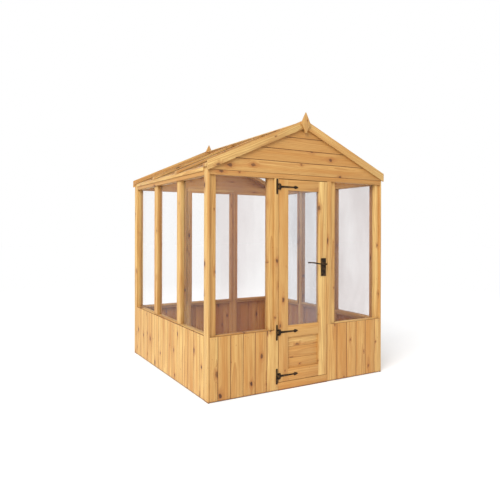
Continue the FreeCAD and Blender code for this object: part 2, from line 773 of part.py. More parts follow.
def build_roof():
    """Right slope of three panes between rebated bars, and the left slope as the same turned round."""
    ridge_run = s.ridge_thick / 2
    foot_depth = (s.rebate_depth, s.bar_depth)
    bars = []
    rails = []
    panes = []
    strips = []
    profile = [
        (ridge_run, below_roof(ridge_run)),
        (nib_end, below_roof(nib_end)),
        (nib_end, below_roof(nib_end, s.rebate_depth)),
        (side_out, below_roof(side_out, s.rebate_depth)),
        (side_out, below_roof(side_out, s.bar_depth)),
        (ridge_run, below_roof(ridge_run, s.bar_depth)),
    ]
    upper = [
        (ridge_run, below_roof(ridge_run)),
        (nib_end, below_roof(nib_end)),
        (nib_end, below_roof(nib_end, s.rebate_depth)),
        (ridge_run, below_roof(ridge_run, s.rebate_depth)),
    ]
    for number in range(3):
        low = s.panel_width * (number - 1.5)
        high = low + s.panel_width
        for back, outer in ((True, low), (False, high)):
            bar = doc.addObject("PartDesign::Body", f"roof_bar{number}{int(back)}")
            pad(bar, sketch(bar, "XZ_Plane", profile), s.bar_width, back)
            shoulder = s.bar_width - s.rebate_width
            rebate = sketch(bar, "XZ_Plane", upper, -shoulder if back else shoulder)
            pocket(bar, rebate, s.rebate_width, not back)
            bind(bar, "Placement.Base.y", outer)
            bars.append(bar)
        inner = (low + s.bar_width, high - s.bar_width)
        rail_end = ridge_run + s.roof_rail * cosine
        rails.append(sloped(f"ridge_rail{number}", 1, (ridge_run, rail_end), foot_depth, inner))
        rails.append(sloped(f"eave_rail{number}", 1, (side_in, side_out), foot_depth, inner))
        seat = s.rebate_width - s.rebate_slack
        sheet_run = (ridge_run, nib_end - s.nib_reach / 4)
        sheet_depth = (s.rebate_depth - s.pane_thick, s.rebate_depth)
        width = (inner[0] - seat, inner[1] + seat)
        panes.append(sloped(f"roof_pane{number}", 1, sheet_run, sheet_depth, width))
        strip_depth = (s.rebate_depth - s.pane_thick - s.strip_height, s.rebate_depth - s.pane_thick)
        for edge in ((inner[0] - s.rebate_width, inner[0]), (inner[1], inner[1] + s.rebate_width)):
            strips.append(sloped(f"roof_strip{number}", 1, sheet_run, strip_depth, edge))
    group("right_roof_bars", bars)
    group("left_roof_bars", [copy(bar, half_turn=True) for bar in bars])
    group("right_roof_panes", panes)
    group("left_roof_panes", [copy(pane, half_turn=True) for pane in panes])
    group("roof_rails", rails + [copy(rail, half_turn=True) for rail in rails])
    group("roof_glazing_strips", strips + [copy(strip, half_turn=True) for strip in strips])
    plate = [
        (side_in, wall_top),
        (side_out, wall_top),
        (side_out, below_roof(side_out, s.bar_depth)),
        (side_in, below_roof(side_in, s.bar_depth)),
    ]
    eave_plate = prism("eave_plate", "XZ_Plane", plate, (-end_in, end_in))
    group("eave_plates", [eave_plate, copy(eave_plate, half_turn=True)])
    fascia_out = side_out + s.fascia_thick
    board = [
        (side_out, fascia_bottom),
        (fascia_out, fascia_bottom),
        (fascia_out, below_roof(fascia_out, s.rebate_depth)),
        (side_out, below_roof(side_out, s.rebate_depth)),
    ]
    fascia = prism("eave_fascia", "XZ_Plane", board, (-strip_edge, strip_edge))
    group("eave_fascias", [fascia, copy(fascia, half_turn=True)])
    ridge_top = below_roof(ridge_run)
    ridge_span = (ridge_top - s.ridge_depth, ridge_top)
    node(batten("ridge_board", (-ridge_run, ridge_run), (-end_in, end_in), ridge_span), "ridge_board")
    cap_run = s.cap_width * cosine
    cap = [
        (0, ridge_level),
        (cap_run, below_roof(cap_run)),
        (cap_run + s.cap_thick * sine, below_roof(cap_run) + s.cap_thick * cosine),
        (0, ridge_level + s.cap_thick / cosine),
    ]
    capping = prism("ridge_cap", "XZ_Plane", cap, (-end_face, end_face))
    group("ridge_capping", [capping, copy(capping, half_turn=True)])


def build_door_leaf():
    """Tenoned door leaf with a pane above, a boarded panel below and beads behind both."""
    depth = (-end_face, -leaf_back)
    rebate_depth = (s.door_lip - end_face, -leaf_back)
    glass = (s.middle_rail_top, glass_top)
    panel = (panel_bottom, panel_top)
    tenon_depth = (-leaf_middle - s.tenon_thick / 2, -leaf_middle + s.tenon_thick / 2)
    rails = (
        ("door_top_rail", glass_top, leaf_top),
        ("door_middle_rail", panel_top, s.middle_rail_top),
        ("door_bottom_rail", leaf_bottom, panel_bottom),
    )
    rebate_half = glass_half + s.door_rebate

    def rebate(name, x, level):
        return batten(name, x, rebate_depth, (level[0] - s.door_rebate, level[1] + s.door_rebate))

    def tenon(name, side, low, high):
        level = (low + s.tenon_shoulder, high - s.tenon_shoulder)
        return batten(name, span(side, glass_half, glass_half + s.tenon_length), tenon_depth, level)

    for label, low, high in rails:
        rail = batten(f"{label}_blank", (-glass_half, glass_half), depth, (low, high))
        openings = [
            rebate(f"{label}_glass", (-glass_half, glass_half), glass),
            rebate(f"{label}_panel", (-glass_half, glass_half), panel),
        ]
        joined = doc.addObject("Part::MultiFuse", f"{label}_tenoned")
        joined.Shapes = [cut(label, rail, openings)]
        joined.Shapes += [tenon(f"{label}_tenon{side + 1}", side, low, high) for side in (-1, 1)]
        node(joined, label)
    for side, label in ((-1, "door_hinge_stile"), (1, "door_lock_stile")):
        stile = batten(f"{label}_blank", span(side, glass_half, door_half), depth, (leaf_bottom, leaf_top))
        edge = span(side, glass_half, rebate_half)
        tools = [rebate(f"{label}_glass", edge, glass), rebate(f"{label}_panel", edge, panel)]
        tools += [tenon(f"{label}_{rail}", side, low, high) for rail, low, high in rails]
        if side > 0:
            tools += lock_hollows()
        node(cut(label, stile, tools), label)
    slack = s.door_slack
    pane_half = rebate_half - slack
    pane_y = (s.door_lip - end_face, s.door_lip + s.pane_thick - end_face)
    pane_level = (glass[0] - s.door_rebate + slack, glass[1] + s.door_rebate - slack)
    node(batten("door_pane", (-pane_half, pane_half), pane_y, pane_level), "door_pane")
    low = panel[0] - s.door_rebate + slack
    height = panel[1] + s.door_rebate - slack - low
    board_back = end_face - s.door_lip - s.strip_thick
    cover = height / s.door_boards
    boards = lying_boards("door_panel", low, height, cover, board_back, (-pane_half, pane_half))
    group("door_panel_boards", boards)
    beads = []
    for name, opening, back in (("glass", glass, pane_y[1]), ("panel", panel, -board_back)):
        bead_y = (back, -leaf_back)
        level = (opening[0] - s.door_rebate, opening[1] + s.door_rebate)
        for side in (-1, 1):
            beads.append(batten(f"{name}_side_bead", span(side, glass_half, rebate_half), bead_y, level))
        for part in ((level[0], opening[0]), (opening[1], level[1])):
            beads.append(batten(f"{name}_end_bead", (-glass_half, glass_half), bead_y, part))
    group("door_beads", beads)


def lock_hollows():
    """What is cut from the lock stile for the latch case, its forend and the spindle."""
    middle = s.handle_level
    case = batten(
        "case_mortice",
        (case_start, case_end),
        (-leaf_middle - s.case_thick / 2, -leaf_middle + s.case_thick / 2),
        (middle - s.case_height / 2, middle + s.case_height / 2),
    )
    forend = batten(
        "forend_recess",
        (case_end, door_half),
        (-leaf_middle - s.forend_width / 2, -leaf_middle + s.forend_width / 2),
        (middle - s.forend_height / 2, middle + s.forend_height / 2),
    )
    return [case, forend, cross_bore("stile_bore", s.spindle_bore / 2, s.door_thick, leaf_back)]


def cross_bore(name, radius, length, inner):
    """A round bar across the door at the spindle, from an inner place outwards."""
    bar = doc.addObject("Part::Cylinder", name)
    bind(bar, "Radius", radius)
    bind(bar, "Height", length)
    bar.Placement = FreeCAD.Placement(FreeCAD.Vector(), FreeCAD.Rotation(FreeCAD.Vector(1, 0, 0), 90))
    for axis, size in zip("xyz", (handle_x, -inner, s.handle_level)):
        bind(bar, f"Placement.Base.{axis}", size)
    return bar


def build_hinges():
    """Three T-hinges: plate with two knuckles and the fast pin on the post, strap with one on the door."""
    half = s.knuckle_height / 2
    third = (s.knuckle_height - s.knuckle_gap * 2) / 3
    inner = third / 2 + s.knuckle_gap
    centre = (0, -knuckle_stand)

    def turned(body, radius, low, height):
        pad(body, disc(body, "XY_Plane", centre, radius, low), height)

    near = -s.plate_inset
    far = near - s.plate_width
    tall = s.plate_height / 2
    curve = s.plate_width * 0.56
    outline = [(far, -tall, curve), (near, -tall), (near, -half), (0, -half), (0, -inner), (near, -inner)]
    outline += [(near, inner), (0, inner), (0, half), (near, half), (near, tall, curve), (far, tall)]
    plate = doc.addObject("PartDesign::Body", "hinge_plate")
    pad(plate, sketch(plate, "XZ_Plane", outline), s.hinge_metal)
    turned(plate, s.knuckle_radius, -half, third)
    turned(plate, s.knuckle_radius, inner, third)
    turned(plate, s.pin_radius, -inner, inner * 2)
    turned(plate, s.pin_head, half, s.pin_head_height)

    tab = third / 2
    flange = s.strap_start + s.strap_flange
    spear = s.strap_length - s.spear_length
    blade = flange + s.strap_flange / 2
    lower = [
        (0, -tab),
        (s.strap_start, -tab),
        (s.strap_start, -half),
        (flange, -half, -s.strap_round),
        (blade, -s.strap_root / 2),
        (spear - s.spear_neck, -s.strap_neck / 2),
        (spear, -s.spear_width / 2, s.spear_round),
    ]
    upper = [
        (s.strap_length, 0, s.spear_round),
        (spear, s.spear_width / 2),
        (spear - s.spear_neck, s.strap_neck / 2),
        (blade, s.strap_root / 2, -s.strap_round),
        (flange, half),
        (s.strap_start, half),
        (s.strap_start, tab),
        (0, tab),
    ]
    strap = doc.addObject("PartDesign::Body", "hinge_strap")
    pad(strap, sketch(strap, "XZ_Plane", lower + upper), s.hinge_metal)
    turned(strap, s.knuckle_radius, -tab, third)
    bore = disc(strap, "XY_Plane", centre, s.pin_radius + s.pin_slack, -tab)
    pocket(strap, bore, third, True)

    for label, piece in (("hinge_plates", plate), ("hinge_straps", strap)):
        for axis, size in zip("xyz", (hinge_x, -end_face, hinge_levels[0])):
            bind(piece, f"Placement.Base.{axis}", size)
        steps = [level - hinge_levels[0] for level in hinge_levels[1:]]
        group(label, [piece] + [copy(piece, (0, 0, step)) for step in steps])


def build_handle():
    """Back plates with a bush in each, a curved lever outside and a knob inside on one square spindle."""
    plate_half = s.handle_plate_width / 2
    low = s.handle_level - s.handle_plate_drop - s.handle_plate_height / 2
    corners = [
        (handle_x - plate_half, low),
        (handle_x + plate_half, low),
        (handle_x + plate_half, low + s.handle_plate_height),
        (handle_x - plate_half, low + s.handle_plate_height),
    ]
    plate_out = end_face + s.handle_plate_thick
    blank = prism("handle_plate", "XZ_Plane", corners, (-plate_out, -end_face))
    doc.recompute()
    solid = blank.Tip
    front = min(solid.Shape.Faces, key=lambda face: face.CenterOfMass.y)
    edges = [f"Edge{n}" for n, edge in enumerate(solid.Shape.Edges, 1) if edge_on(edge, front)]
    bevel = blank.newObject("PartDesign::Chamfer", "handle_plate_bevel")
    bevel.Base = (solid, edges)
    bind(bevel, "Size", s.handle_plate_bevel)
    bore = cross_bore("plate_bore", s.hub_radius, s.handle_plate_thick, end_face)
    outer = cut("handle_plate", blank, [bore])
    mirror_plane = -leaf_middle
    group("handle_plates", [outer, mirrored(outer, mirror_plane)])

    lever = doc.addObject("PartDesign::Body", "lever")
    neck = s.hub_radius - s.hub_slack
    rose = s.handle_plate_thick + s.rose_gap
    reach = s.handle_plate_thick + s.lever_stand
    hub = [
        (0, -rose),
        (s.rose_radius, -rose),
        (neck, -(rose + s.rose_height)),
        (neck, -(reach - s.lever_radius)),
        (s.lever_radius, -(reach + s.lever_radius)),
        (0, -(reach + s.lever_radius)),
    ]
    turn = lever.newObject("PartDesign::Revolution", "lever_hub")
    turn.Profile = sketch(lever, "XY_Plane", hub)
    turn.ReferenceAxis = (turn.Profile[0], ["V_Axis"])
    turn.Angle = 360
    length = s.lever_length
    rise = s.lever_rise
    half = s.lever_radius
    sides = length * length + rise * rise
    sweep = sides / (rise * 4)
    lean = length * rise * 2 / sides * half
    level = (length * length - rise * rise) / sides * half
    arm = [
        (0, -half, -(sweep + half)),
        (-length / 2 - lean, rise / 2 - level, sweep - half),
        (-length, rise - half),
        (-length, rise + half, -(sweep + half)),
        (lean - length / 2, rise / 2 + level, sweep - half),
        (0, half),
    ]
    pad(lever, sketch(lever, "XZ_Plane", arm, reach - s.lever_thick / 2), s.lever_thick)
    knob_end = [
        (-s.lever_knob, 0),
        (-s.lever_knob, -s.lever_knob / 2),
        (0, -s.lever_knob),
        (s.lever_knob * 2, -s.lever_tip),
        (s.lever_knob * 2, 0),
    ]
    turned_end = sketch(lever, "XZ_Plane", knob_end, reach)
    bind(turned_end, "AttachmentOffset.Base.x", -s.lever_length)
    bind(turned_end, "AttachmentOffset.Base.y", s.lever_rise)
    knob = lever.newObject("PartDesign::Revolution", "lever_knob")
    knob.Profile = turned_end
    knob.ReferenceAxis = (turned_end, ["H_Axis"])
    knob.Angle = 360
    slope_end = s.knob_stand + s.knob_slope
    rim_end = slope_end + s.knob_rim
    crown_end = rim_end + s.knob_crown
    profile = [
        (0, -rose),
        (s.rose_radius, -rose),
        (neck, -(rose + s.rose_height)),
        (neck, -s.knob_stand),
        (s.knob_radius, -slope_end),
        (s.knob_radius, -rim_end),
        (s.knob_radius - s.knob_crown, -crown_end),
        (0, -crown_end),
    ]
    inner = doc.addObject("PartDesign::Body", "inner_knob")
    turn = inner.newObject("PartDesign::Revolution", "inner_knob_turn")
    turn.Profile = sketch(inner, "XY_Plane", profile)
    turn.ReferenceAxis = (turn.Profile[0], ["V_Axis"])
    turn.Angle = 360
    grip = s.spindle_side / 2
    square = [(-grip, -grip), (grip, -grip), (grip, grip), (-grip, grip)]
    for body in (lever, inner):
        pocket(body, sketch(body, "XZ_Plane", square), s.spindle_grip, True)
        for axis, size in zip("xyz", (handle_x, -end_face, s.handle_level)):
            bind(body, f"Placement.Base.{axis}", size)
    group("lever_and_knob", [lever, mirrored(inner, mirror_plane)])

    side = s.spindle_side / 2
    spindle = batten(
        "spindle_bar",
        (handle_x - side, handle_x + side),
        (-end_face - s.spindle_grip, s.spindle_grip - leaf_back),
        (s.handle_level - side, s.handle_level + side),
    )
    half = s.follower_thick / 2
    round_part = cross_bore("follower_disc", s.follower_radius, s.follower_thick, leaf_middle - half)
    finger = batten(
        "follower_finger",
        (handle_x - s.follower_finger / 2, handle_x + s.follower_finger / 2),
        (-leaf_middle - s.tail_thick / 2, -leaf_middle + s.tail_thick / 2),
        (s.handle_level, s.handle_level + s.follower_reach),
    )
    joined = doc.addObject("Part::MultiFuse", "spindle_follower")
    joined.Shapes = [spindle, round_part, finger]
    bush = cut("bush", cross_bore("bush", neck, rose, end_face), [spindle])
    group("spindle", [joined, bush, mirrored(bush, mirror_plane)])


def edge_on(edge, face):
    """True where an edge bounds a face."""
    return any(edge.isSame(other) for other in face.Edges)


def mirrored(source, plane_y):
    """The same piece on the other side of the door."""
    image = doc.addObject("Part::Mirroring", source.Name + "_inside")
    image.Source = source
    image.Normal = FreeCAD.Vector(0, 1, 0)
    bind(image, "Base.y", plane_y)
    return image


def build_latch():
    """Latch case with its forend in the lock stile, and the bolt that the follower draws back."""
    middle = s.handle_level
    half = s.case_thick / 2
    wall = s.case_wall
    slack = s.latch_slack
    low = middle - s.case_height / 2
    high = middle + s.case_height / 2
    case_depth = (-leaf_middle - half, -leaf_middle + half)
    shell = batten("case_shell", (case_start, case_end), case_depth, (low, high))
    room = batten(
        "case_room",
        (case_start + wall, case_end - wall),
        (case_depth[0] + wall, case_depth[1] - wall),
        (low + wall, high - wall),
    )
    bore = cross_bore("case_bore", s.case_bore / 2, s.case_thick, leaf_middle - half)
    bolt_y = (-leaf_middle - latch_thick / 2, -leaf_middle + latch_thick / 2)
    bolt_z = (middle - s.latch_height / 2, middle + s.latch_height / 2)
    slot = batten(
        "latch_slot",
        (case_end - wall, door_half),
        (bolt_y[0] - slack, bolt_y[1] + slack),
        (bolt_z[0] - slack, bolt_z[1] + slack),
    )
    case = cut("latch_case", shell, (room, bore, slot))
    forend = batten(
        "forend_blank",
        (case_end, door_half),
        (-leaf_middle - s.forend_width / 2, -leaf_middle + s.forend_width / 2),
        (middle - s.forend_height / 2, middle + s.forend_height / 2),
    )
    group("lock_case", [case, cut("forend", forend, (slot,))])

    back = latch_nose - s.latch_body
    bolt = [
        (back, bolt_y[0]),
        (latch_nose - s.latch_bevel, bolt_y[0]),
        (latch_nose, bolt_y[0] + s.latch_bevel),
        (latch_nose, bolt_y[1]),
        (back, bolt_y[1]),
    ]
    head = prism("latch_head", "XY_Plane", bolt, bolt_z)
    tail_y = (-leaf_middle - s.tail_thick / 2, -leaf_middle + s.tail_thick / 2)
    tail_low = middle + s.follower_reach + s.latch_slack * 2
    hook = handle_x - s.follower_finger / 2 - s.hook_gap
    neck = batten("latch_neck", (back, back + s.tail_height), tail_y, (middle, tail_low + s.tail_height))
    tail = batten("latch_tail", (hook - s.hook_width, back), tail_y, (tail_low, tail_low + s.tail_height))
    claw_level = (middle + s.follower_radius + slack, tail_low)
    claw = batten("latch_claw", (hook - s.hook_width, hook), tail_y, claw_level)
    joined = doc.addObject("Part::MultiFuse", "latch_joined")
    joined.Shapes = [head, neck, tail, claw]
    node(joined, "latch_bolt")


def check_and_write():
    """Stop on any failed object, then write each sub-part to its own file."""
    doc.recompute()
    for piece in doc.Objects:
        if "Invalid" in piece.State or "Error" in piece.State:
            raise RuntimeError(f"{piece.Label} failed: {piece.State}")
    for piece in nodes:
        shape = piece.Shape
        if shape.isNull() or not shape.isValid() or not shape.Solids:
            raise RuntimeError(f"{piece.Label} has no valid shape")
        if min(solid.Volume for solid in shape.Solids) <= 0:
            raise RuntimeError(f"{piece.Label} has a solid inside out")
        shape.exportStep(f"parts/{piece.Label}.step")


doc.recompute()
window_beads = build_side_walls() + build_rear_wall() + build_front_wall()
group("window_beads", window_beads)
build_door_frame()
build_cover_strips()
build_gables()
build_roof()
build_door_leaf()
build_hinges()
build_handle()
build_latch()
check_and_write()
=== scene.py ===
"""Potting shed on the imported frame: stained pine, clear panes, black ironwork and a plain studio."""

import json
import math
import random

import bpy
import numpy as np
from bpy.props import FloatProperty, FloatVectorProperty, IntProperty, PointerProperty
from mathutils import Euler, Matrix, Vector

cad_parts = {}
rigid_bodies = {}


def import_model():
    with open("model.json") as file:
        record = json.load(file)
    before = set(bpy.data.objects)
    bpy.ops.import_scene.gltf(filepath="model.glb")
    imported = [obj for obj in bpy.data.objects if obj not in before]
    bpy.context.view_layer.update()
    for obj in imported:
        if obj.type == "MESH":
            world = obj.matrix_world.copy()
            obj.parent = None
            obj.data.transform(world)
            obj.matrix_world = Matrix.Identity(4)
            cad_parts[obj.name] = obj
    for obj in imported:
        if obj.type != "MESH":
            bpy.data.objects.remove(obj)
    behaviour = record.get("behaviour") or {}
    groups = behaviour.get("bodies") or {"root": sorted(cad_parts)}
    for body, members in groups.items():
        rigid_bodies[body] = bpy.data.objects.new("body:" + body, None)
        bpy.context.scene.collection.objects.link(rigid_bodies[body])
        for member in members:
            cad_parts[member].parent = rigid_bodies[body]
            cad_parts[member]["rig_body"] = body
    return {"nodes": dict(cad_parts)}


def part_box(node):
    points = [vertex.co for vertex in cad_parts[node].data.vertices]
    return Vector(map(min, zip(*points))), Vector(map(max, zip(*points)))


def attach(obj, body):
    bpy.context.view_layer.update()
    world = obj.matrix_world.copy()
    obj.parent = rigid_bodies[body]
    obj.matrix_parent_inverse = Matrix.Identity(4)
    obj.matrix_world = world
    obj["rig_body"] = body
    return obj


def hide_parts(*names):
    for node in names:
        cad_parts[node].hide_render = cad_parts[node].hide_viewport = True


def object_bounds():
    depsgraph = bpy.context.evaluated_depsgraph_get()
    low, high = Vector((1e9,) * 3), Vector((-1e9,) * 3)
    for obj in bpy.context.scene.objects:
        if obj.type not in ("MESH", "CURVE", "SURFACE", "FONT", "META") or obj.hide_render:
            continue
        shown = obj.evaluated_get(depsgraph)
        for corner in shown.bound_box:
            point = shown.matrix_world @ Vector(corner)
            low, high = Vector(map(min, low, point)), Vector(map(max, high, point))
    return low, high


bl_info = {
    "name": "Potting shed",
    "version": (1, 0, 0),
    "blender": (4, 5, 0),
    "location": "View3D > Sidebar > Potting shed",
    "description": "Pine, panes and ironwork of a small glazed potting shed, and the studio it stands in",
    "category": "Object",
}

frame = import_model()
CAD_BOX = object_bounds()
NODES = frame["nodes"]

WALL_FRAMES = (
    "front_left_frame", "front_right_frame", "left_wall_frame", "right_wall_frame", "rear_wall_frame",
    "door_hinge_post", "door_lock_post", "threshold", "door_stops",
)
COVER_STRIPS = ("corner_strips", "door_post_strips", "head_strips")
WALL_BOARDS = (
    "front_left_cladding", "front_right_cladding", "left_wall_cladding", "right_wall_cladding",
    "rear_wall_cladding",
)
GABLE_BOARDS = ("front_gable_boards", "rear_gable_boards")
GABLE_TRIM = (
    "front_gable_frame", "rear_gable_frame", "front_bargeboards", "rear_bargeboards",
    "front_finial", "rear_finial",
)
ROOF_TIMBERS = (
    "eave_plates", "eave_fascias", "left_roof_bars", "right_roof_bars", "roof_rails",
    "roof_glazing_strips", "ridge_board", "ridge_capping",
)
DOOR_TIMBERS = (
    "door_hinge_stile", "door_lock_stile", "door_top_rail", "door_middle_rail", "door_bottom_rail",
    "door_panel_boards",
)
DEEP_TIMBERS = GABLE_BOARDS + ("door_hinge_stile",)
# Painted light: the sunlit left wall, its frame, the fascias and the corner strips are kept paler.
SUNLIT_TIMBERS = ("left_wall_cladding", "left_wall_frame", "eave_fascias", "corner_strips")
BEADS = ("window_beads", "door_beads")
FRONT_PANES = ("front_window_panes",)
DOOR_PANES = ("door_pane",)
RIGHT_PANES = ("right_window_panes",)
CLEAR_PANES = ("left_window_panes", "rear_window_panes")
ROOF_PANES = ("left_roof_panes", "right_roof_panes")
IRONWORK = ("hinge_plates", "hinge_straps", "handle_plates", "lever_and_knob")
LOCK_PARTS = ("latch_keep", "lock_case", "spindle", "latch_bolt")

ORIGIN = (0, 0, 0)
WHITE = (1, 1, 1, 1)
TURN_SENSE = -1  # with no window, transform.rotate turns the other way
MIX_INPUTS, MIX_RESULT = (0, 6, 7), 2  # sockets of a colour mix: share, first and second, and the result

PLACE_DIGITS = 6  # corners alike to this many digits of a metre are one corner
FLAT_ANGLE = math.radians(0.5)  # triangles flatter to each other than this are one face
SHARP_ANGLE = math.radians(30)  # an edge sharper than this is eased
SMOOTH_ANGLE = math.radians(35)  # an edge flatter than this is shaded round
EDGE_STEPS = 2  # facets across an eased edge
SQUARE_ON = 0.9  # a face whose normal lies this far along an axis is square to it
WALL_MARGIN = 0.002  # metres added round the walls when their inner faces are picked out
FACING_IN, FACING_DOWN = 0.5, 0.3  # how far a normal has to point inwards, or down

# Where the pith of a log may lie, in metres: along the timber, aside from its middle, and behind its face.
PITH_ALONG = (0, 20)
PITH_ASIDE = (-0.06, 0.06)
PITH_BEHIND = (0.02, 0.09)

# Patterns of the pine, in waves per metre along and across the grain, and how far they reach, in metres.
KNOT_EDGE_WAVES, KNOT_EDGE_REACH = 38.0, 0.02
WAVER_ALONG, WAVER_ACROSS, WAVER_REACH = 1.1, 7, 0.04
FIBRE_ALONG, FIBRE_ACROSS = 7, 300
CLOUD_ALONG, CLOUD_ACROSS = 1.3, 20
KNOT_BEND = 0.008  # how far the rings give way to a knot
LATE_POWER = 2.0  # how late in a growth ring the wood darkens
LATE_RISE = 0.6  # height of late wood beside that of a fibre

# Knots, and the streaks that trail from them along the grain.
KNOT_ALONG, STREAK_ALONG = 0.62, 0.2  # what a length along the grain counts for, so both are drawn out
STREAK_EDGE, STREAK_CORE = 1.5, 0.002  # where a streak ends, in knot sizes, and is full, in metres
STREAK_ONSET = 0.25  # how far above the smallest knot in the draw a streak is full
HEART_CORE, HALO_EDGE, PIN_CORE = 0.6, 2.6, 0.3  # in sizes of the knot
PIN_FREE = 0.78  # share of the places for a pin knot that are left without one

# How much of each colour is laid over the wood, and the height at which the painted shade at the foot of the
# timbers is darkest, in metres.
LATE_SHARE, STREAK_SHARE, HALO_SHARE, FOOT_SHADE_SHARE = 0.62, 0.32, 0.5, 0.95
FOOT_SHADE_LEVEL = 0.003

# A range holds two values of a pattern, and then the two that they are turned into.
AMBER_RANGE = (0.42, 0.68, 0, 0.8)
FIBRE_RANGE = (0.42, 0.72, 0, 0.5)
SOUND_RANGE = (0.1, 0.8, 0.6, 1)
PINE_ROUGHNESS = (0.3, 0.7, 0.48, 0.66)
PANE_ROUGHNESS = (0.35, 0.7, 0.03, 0.12)
RUBBED_RANGE = (0.45, 0.72, 0, 0.8)
IRON_ROUGHNESS = (0.3, 0.7, 0.4, 0.62)
BLOTCH_RANGE = (0.4, 0.7, 0, 0.6)
ZINC_ROUGHNESS = (0.3, 0.7, 0.45, 0.7)
DULL_RANGE = (0.4, 0.75, 0, 0.35)
STEEL_ROUGHNESS = (0.3, 0.7, 0.25, 0.45)
SPECK_RANGE = (0.3, 0.7, 0, 0.02)

# Depth of a bump in metres, and its strength.
GRAIN_BUMP = (0.0006, 0.3)
DIMPLE_BUMP = (0.0006, 0.5)
BRUSHED_BUMP = (0.0001, 0.4)

# Patterns of the panes, metals and floor, in waves per metre.
SMEAR_WAVES = (2.2, 2.2, 0.8)
SMEAR_LEAST, SMEAR_MOST = 0.35, 0.65  # values of the pattern where a pane is clean, and smeared
HAZE_LEAST, HAZE_MOST = 0.4, 1.6  # haze of a clean and a smeared place, beside that of the pane
# A pane turning bright at a slant is partly its own reflection and partly a painted reflection in its tint.
SLANT_POWER = 5.0  # how suddenly a pane turns bright at a slant
DIMPLE_WAVES, RUBBED_WAVES, BLOTCH_WAVES, DULL_WAVES, SPECK_WAVES = 210, 34, 260, 40, 60
BRUSHED_WAVES = (900, 900, 24)
IRON_SHINE, ZINC_METAL = 0.16, 0.6  # how much the paint shines, and how metallic the zinc is

ROOF_BAYS = 3  # bays on each slope of the roof
SCREW_SIDES, NAIL_SIDES = 12, 10
CROWN_INSET = 0.35  # width of the slope round a head, as a share of its radius
SLOT_WIDTH, SLOT_DEPTH = 0.3, 0.6  # of a screw's slot, as shares of its radius and rise
NAIL_WANDER = 0.004  # metres that a nail may sit off its mark
# The quarter turn that makes a head which looks up face a wall.
QUARTER_TURNS = {"-Y": ("X", 1), "+Y": ("X", -1), "+X": ("Y", 1), "-X": ("Y", -1)}

FLOOR_SIZE, FLOOR_BELOW = 80, 0.001  # metres across, and below the shed
KEY_DISTANCE = 8  # metres
SENSOR_WIDTH = 36  # millimetres


def colour(red, green, blue):
    """A screen colour, 0 to 255, as the linear colour a shader takes, by the sRGB curve."""
    linear = []
    for level in (red, green, blue):
        share = level / 255
        linear.append(share / 12.92 if share <= 0.04045 else ((share + 0.055) / 1.055) ** 2.4)
    return (*linear, 1.0)


def colour_setting(label, words, red, green, blue):
    """A colour picker in the sidebar."""
    return FloatVectorProperty(
        name=label, description=words, subtype="COLOR", size=4, min=0, max=1, default=colour(red, green, blue)
    )


def length_setting(label, words, metres):
    """A length in the sidebar."""
    return FloatProperty(name=label, description=words, unit="LENGTH", min=0, precision=4, default=metres)


def share_setting(label, words, share):
    """A share from nothing to all in the sidebar."""
    return FloatProperty(name=label, description=words, subtype="FACTOR", min=0, max=1, default=share)


class PineSettings(bpy.types.PropertyGroup):
    """The stained pine: colours, growth rings, knots and eased edges."""

    pale: colour_setting("Pale wood", "Lightest boards", 238, 202, 128)
    honey: colour_setting("Honey wood", "Darkest boards", 206, 156, 88)
    ring: colour_setting("Late wood", "Dark half of a growth ring", 172, 114, 54)
    amber: colour_setting("Amber", "Broad resinous bands", 198, 138, 66)
    halo: colour_setting("Knot halo", "Wood around a knot", 166, 100, 44)
    knot: colour_setting("Knot", "Heart of a knot", 74, 38, 18)
    joint: colour_setting("Joint", "Shade in the joints between boards", 128, 84, 48)
    # Painted shade: this tint darkens the faces that look into the shed, which stand in shade.
    inside: colour_setting("Painted inner shade", "Tint of the faces that look into the shed", 206, 172, 136)
    open_joint: share_setting("Open joint", "Shade between the boards of the walls and gables", 0.9)
    tight_joint: share_setting("Tight joint", "Shade between timbers that close up", 0.15)
    deep_tone: share_setting("Deep tone", "Palest tone of the gables and hinge stile, pale to honey", 0.7)
    # Painted light: the sunlit timbers take only the paler tones.
    sunlit_tone: share_setting("Sunlit tone", "Deepest tone of the left wall and corners, pale to honey", 0.35)
    ring_spacing: length_setting("Ring spacing", "Distance between growth rings", 0.0085)
    knot_density: FloatProperty(
        name="Knot density", description="Places for a knot per metre in each direction", min=0, default=7.5
    )
    knot_free: share_setting("Free of knots", "Share of those places that are left without one", 0.5)
    knot_size: length_setting("Knot size", "Half the width of the largest knots", 0.017)
    pin_density: FloatProperty(
        name="Pin knot density", description="Places for a pin knot per metre in each direction", min=0,
        default=16.0,
    )
    pin_size: length_setting("Pin knot size", "Half the width of a pin knot", 0.004)
    # Painted shade: how much of the inner shade the wall boards and the other timbers take.
    board_shade: share_setting("Board painted shade", "How much of the painted inner shade the boards take", 0.9)
    frame_shade: share_setting("Frame painted shade", "How much of the painted inner shade the other timbers take", 0.3)
    # Painted shade: the wood is darkened along the ground, where the shed meets the floor.
    foot: length_setting("Painted foot shade", "Height of the darkened wood at the ground", 0.014)
    eased: length_setting("Eased edges", "Width of the eased edge of a timber", 0.0016)
    seed: IntProperty(name="Seed", description="Choice of boards", default=11)


class SealSettings(bpy.types.PropertyGroup):
    """The strips under the ridge capping."""

    pitch: FloatProperty(
        name="Pitch", description="Slope of the roof", unit="ROTATION", default=math.radians(24.2)
    )
    cap: length_setting("Capping", "Thickness of the ridge capping", 0.010)
    run: length_setting("Run", "Middle of a strip below the ridge, along the slope", 0.056)
    width: length_setting("Width", "Width of a strip along the slope", 0.016)
    height: length_setting("Height", "Height of a strip between pane and capping", 0.0194)
    clear: length_setting("Clearance", "Room left under the capping", 0.0003)
    length: length_setting("Length", "Length of a strip between the glazing strips", 0.505)
    bay: length_setting("Bay", "Distance from one strip to the next", 0.594)


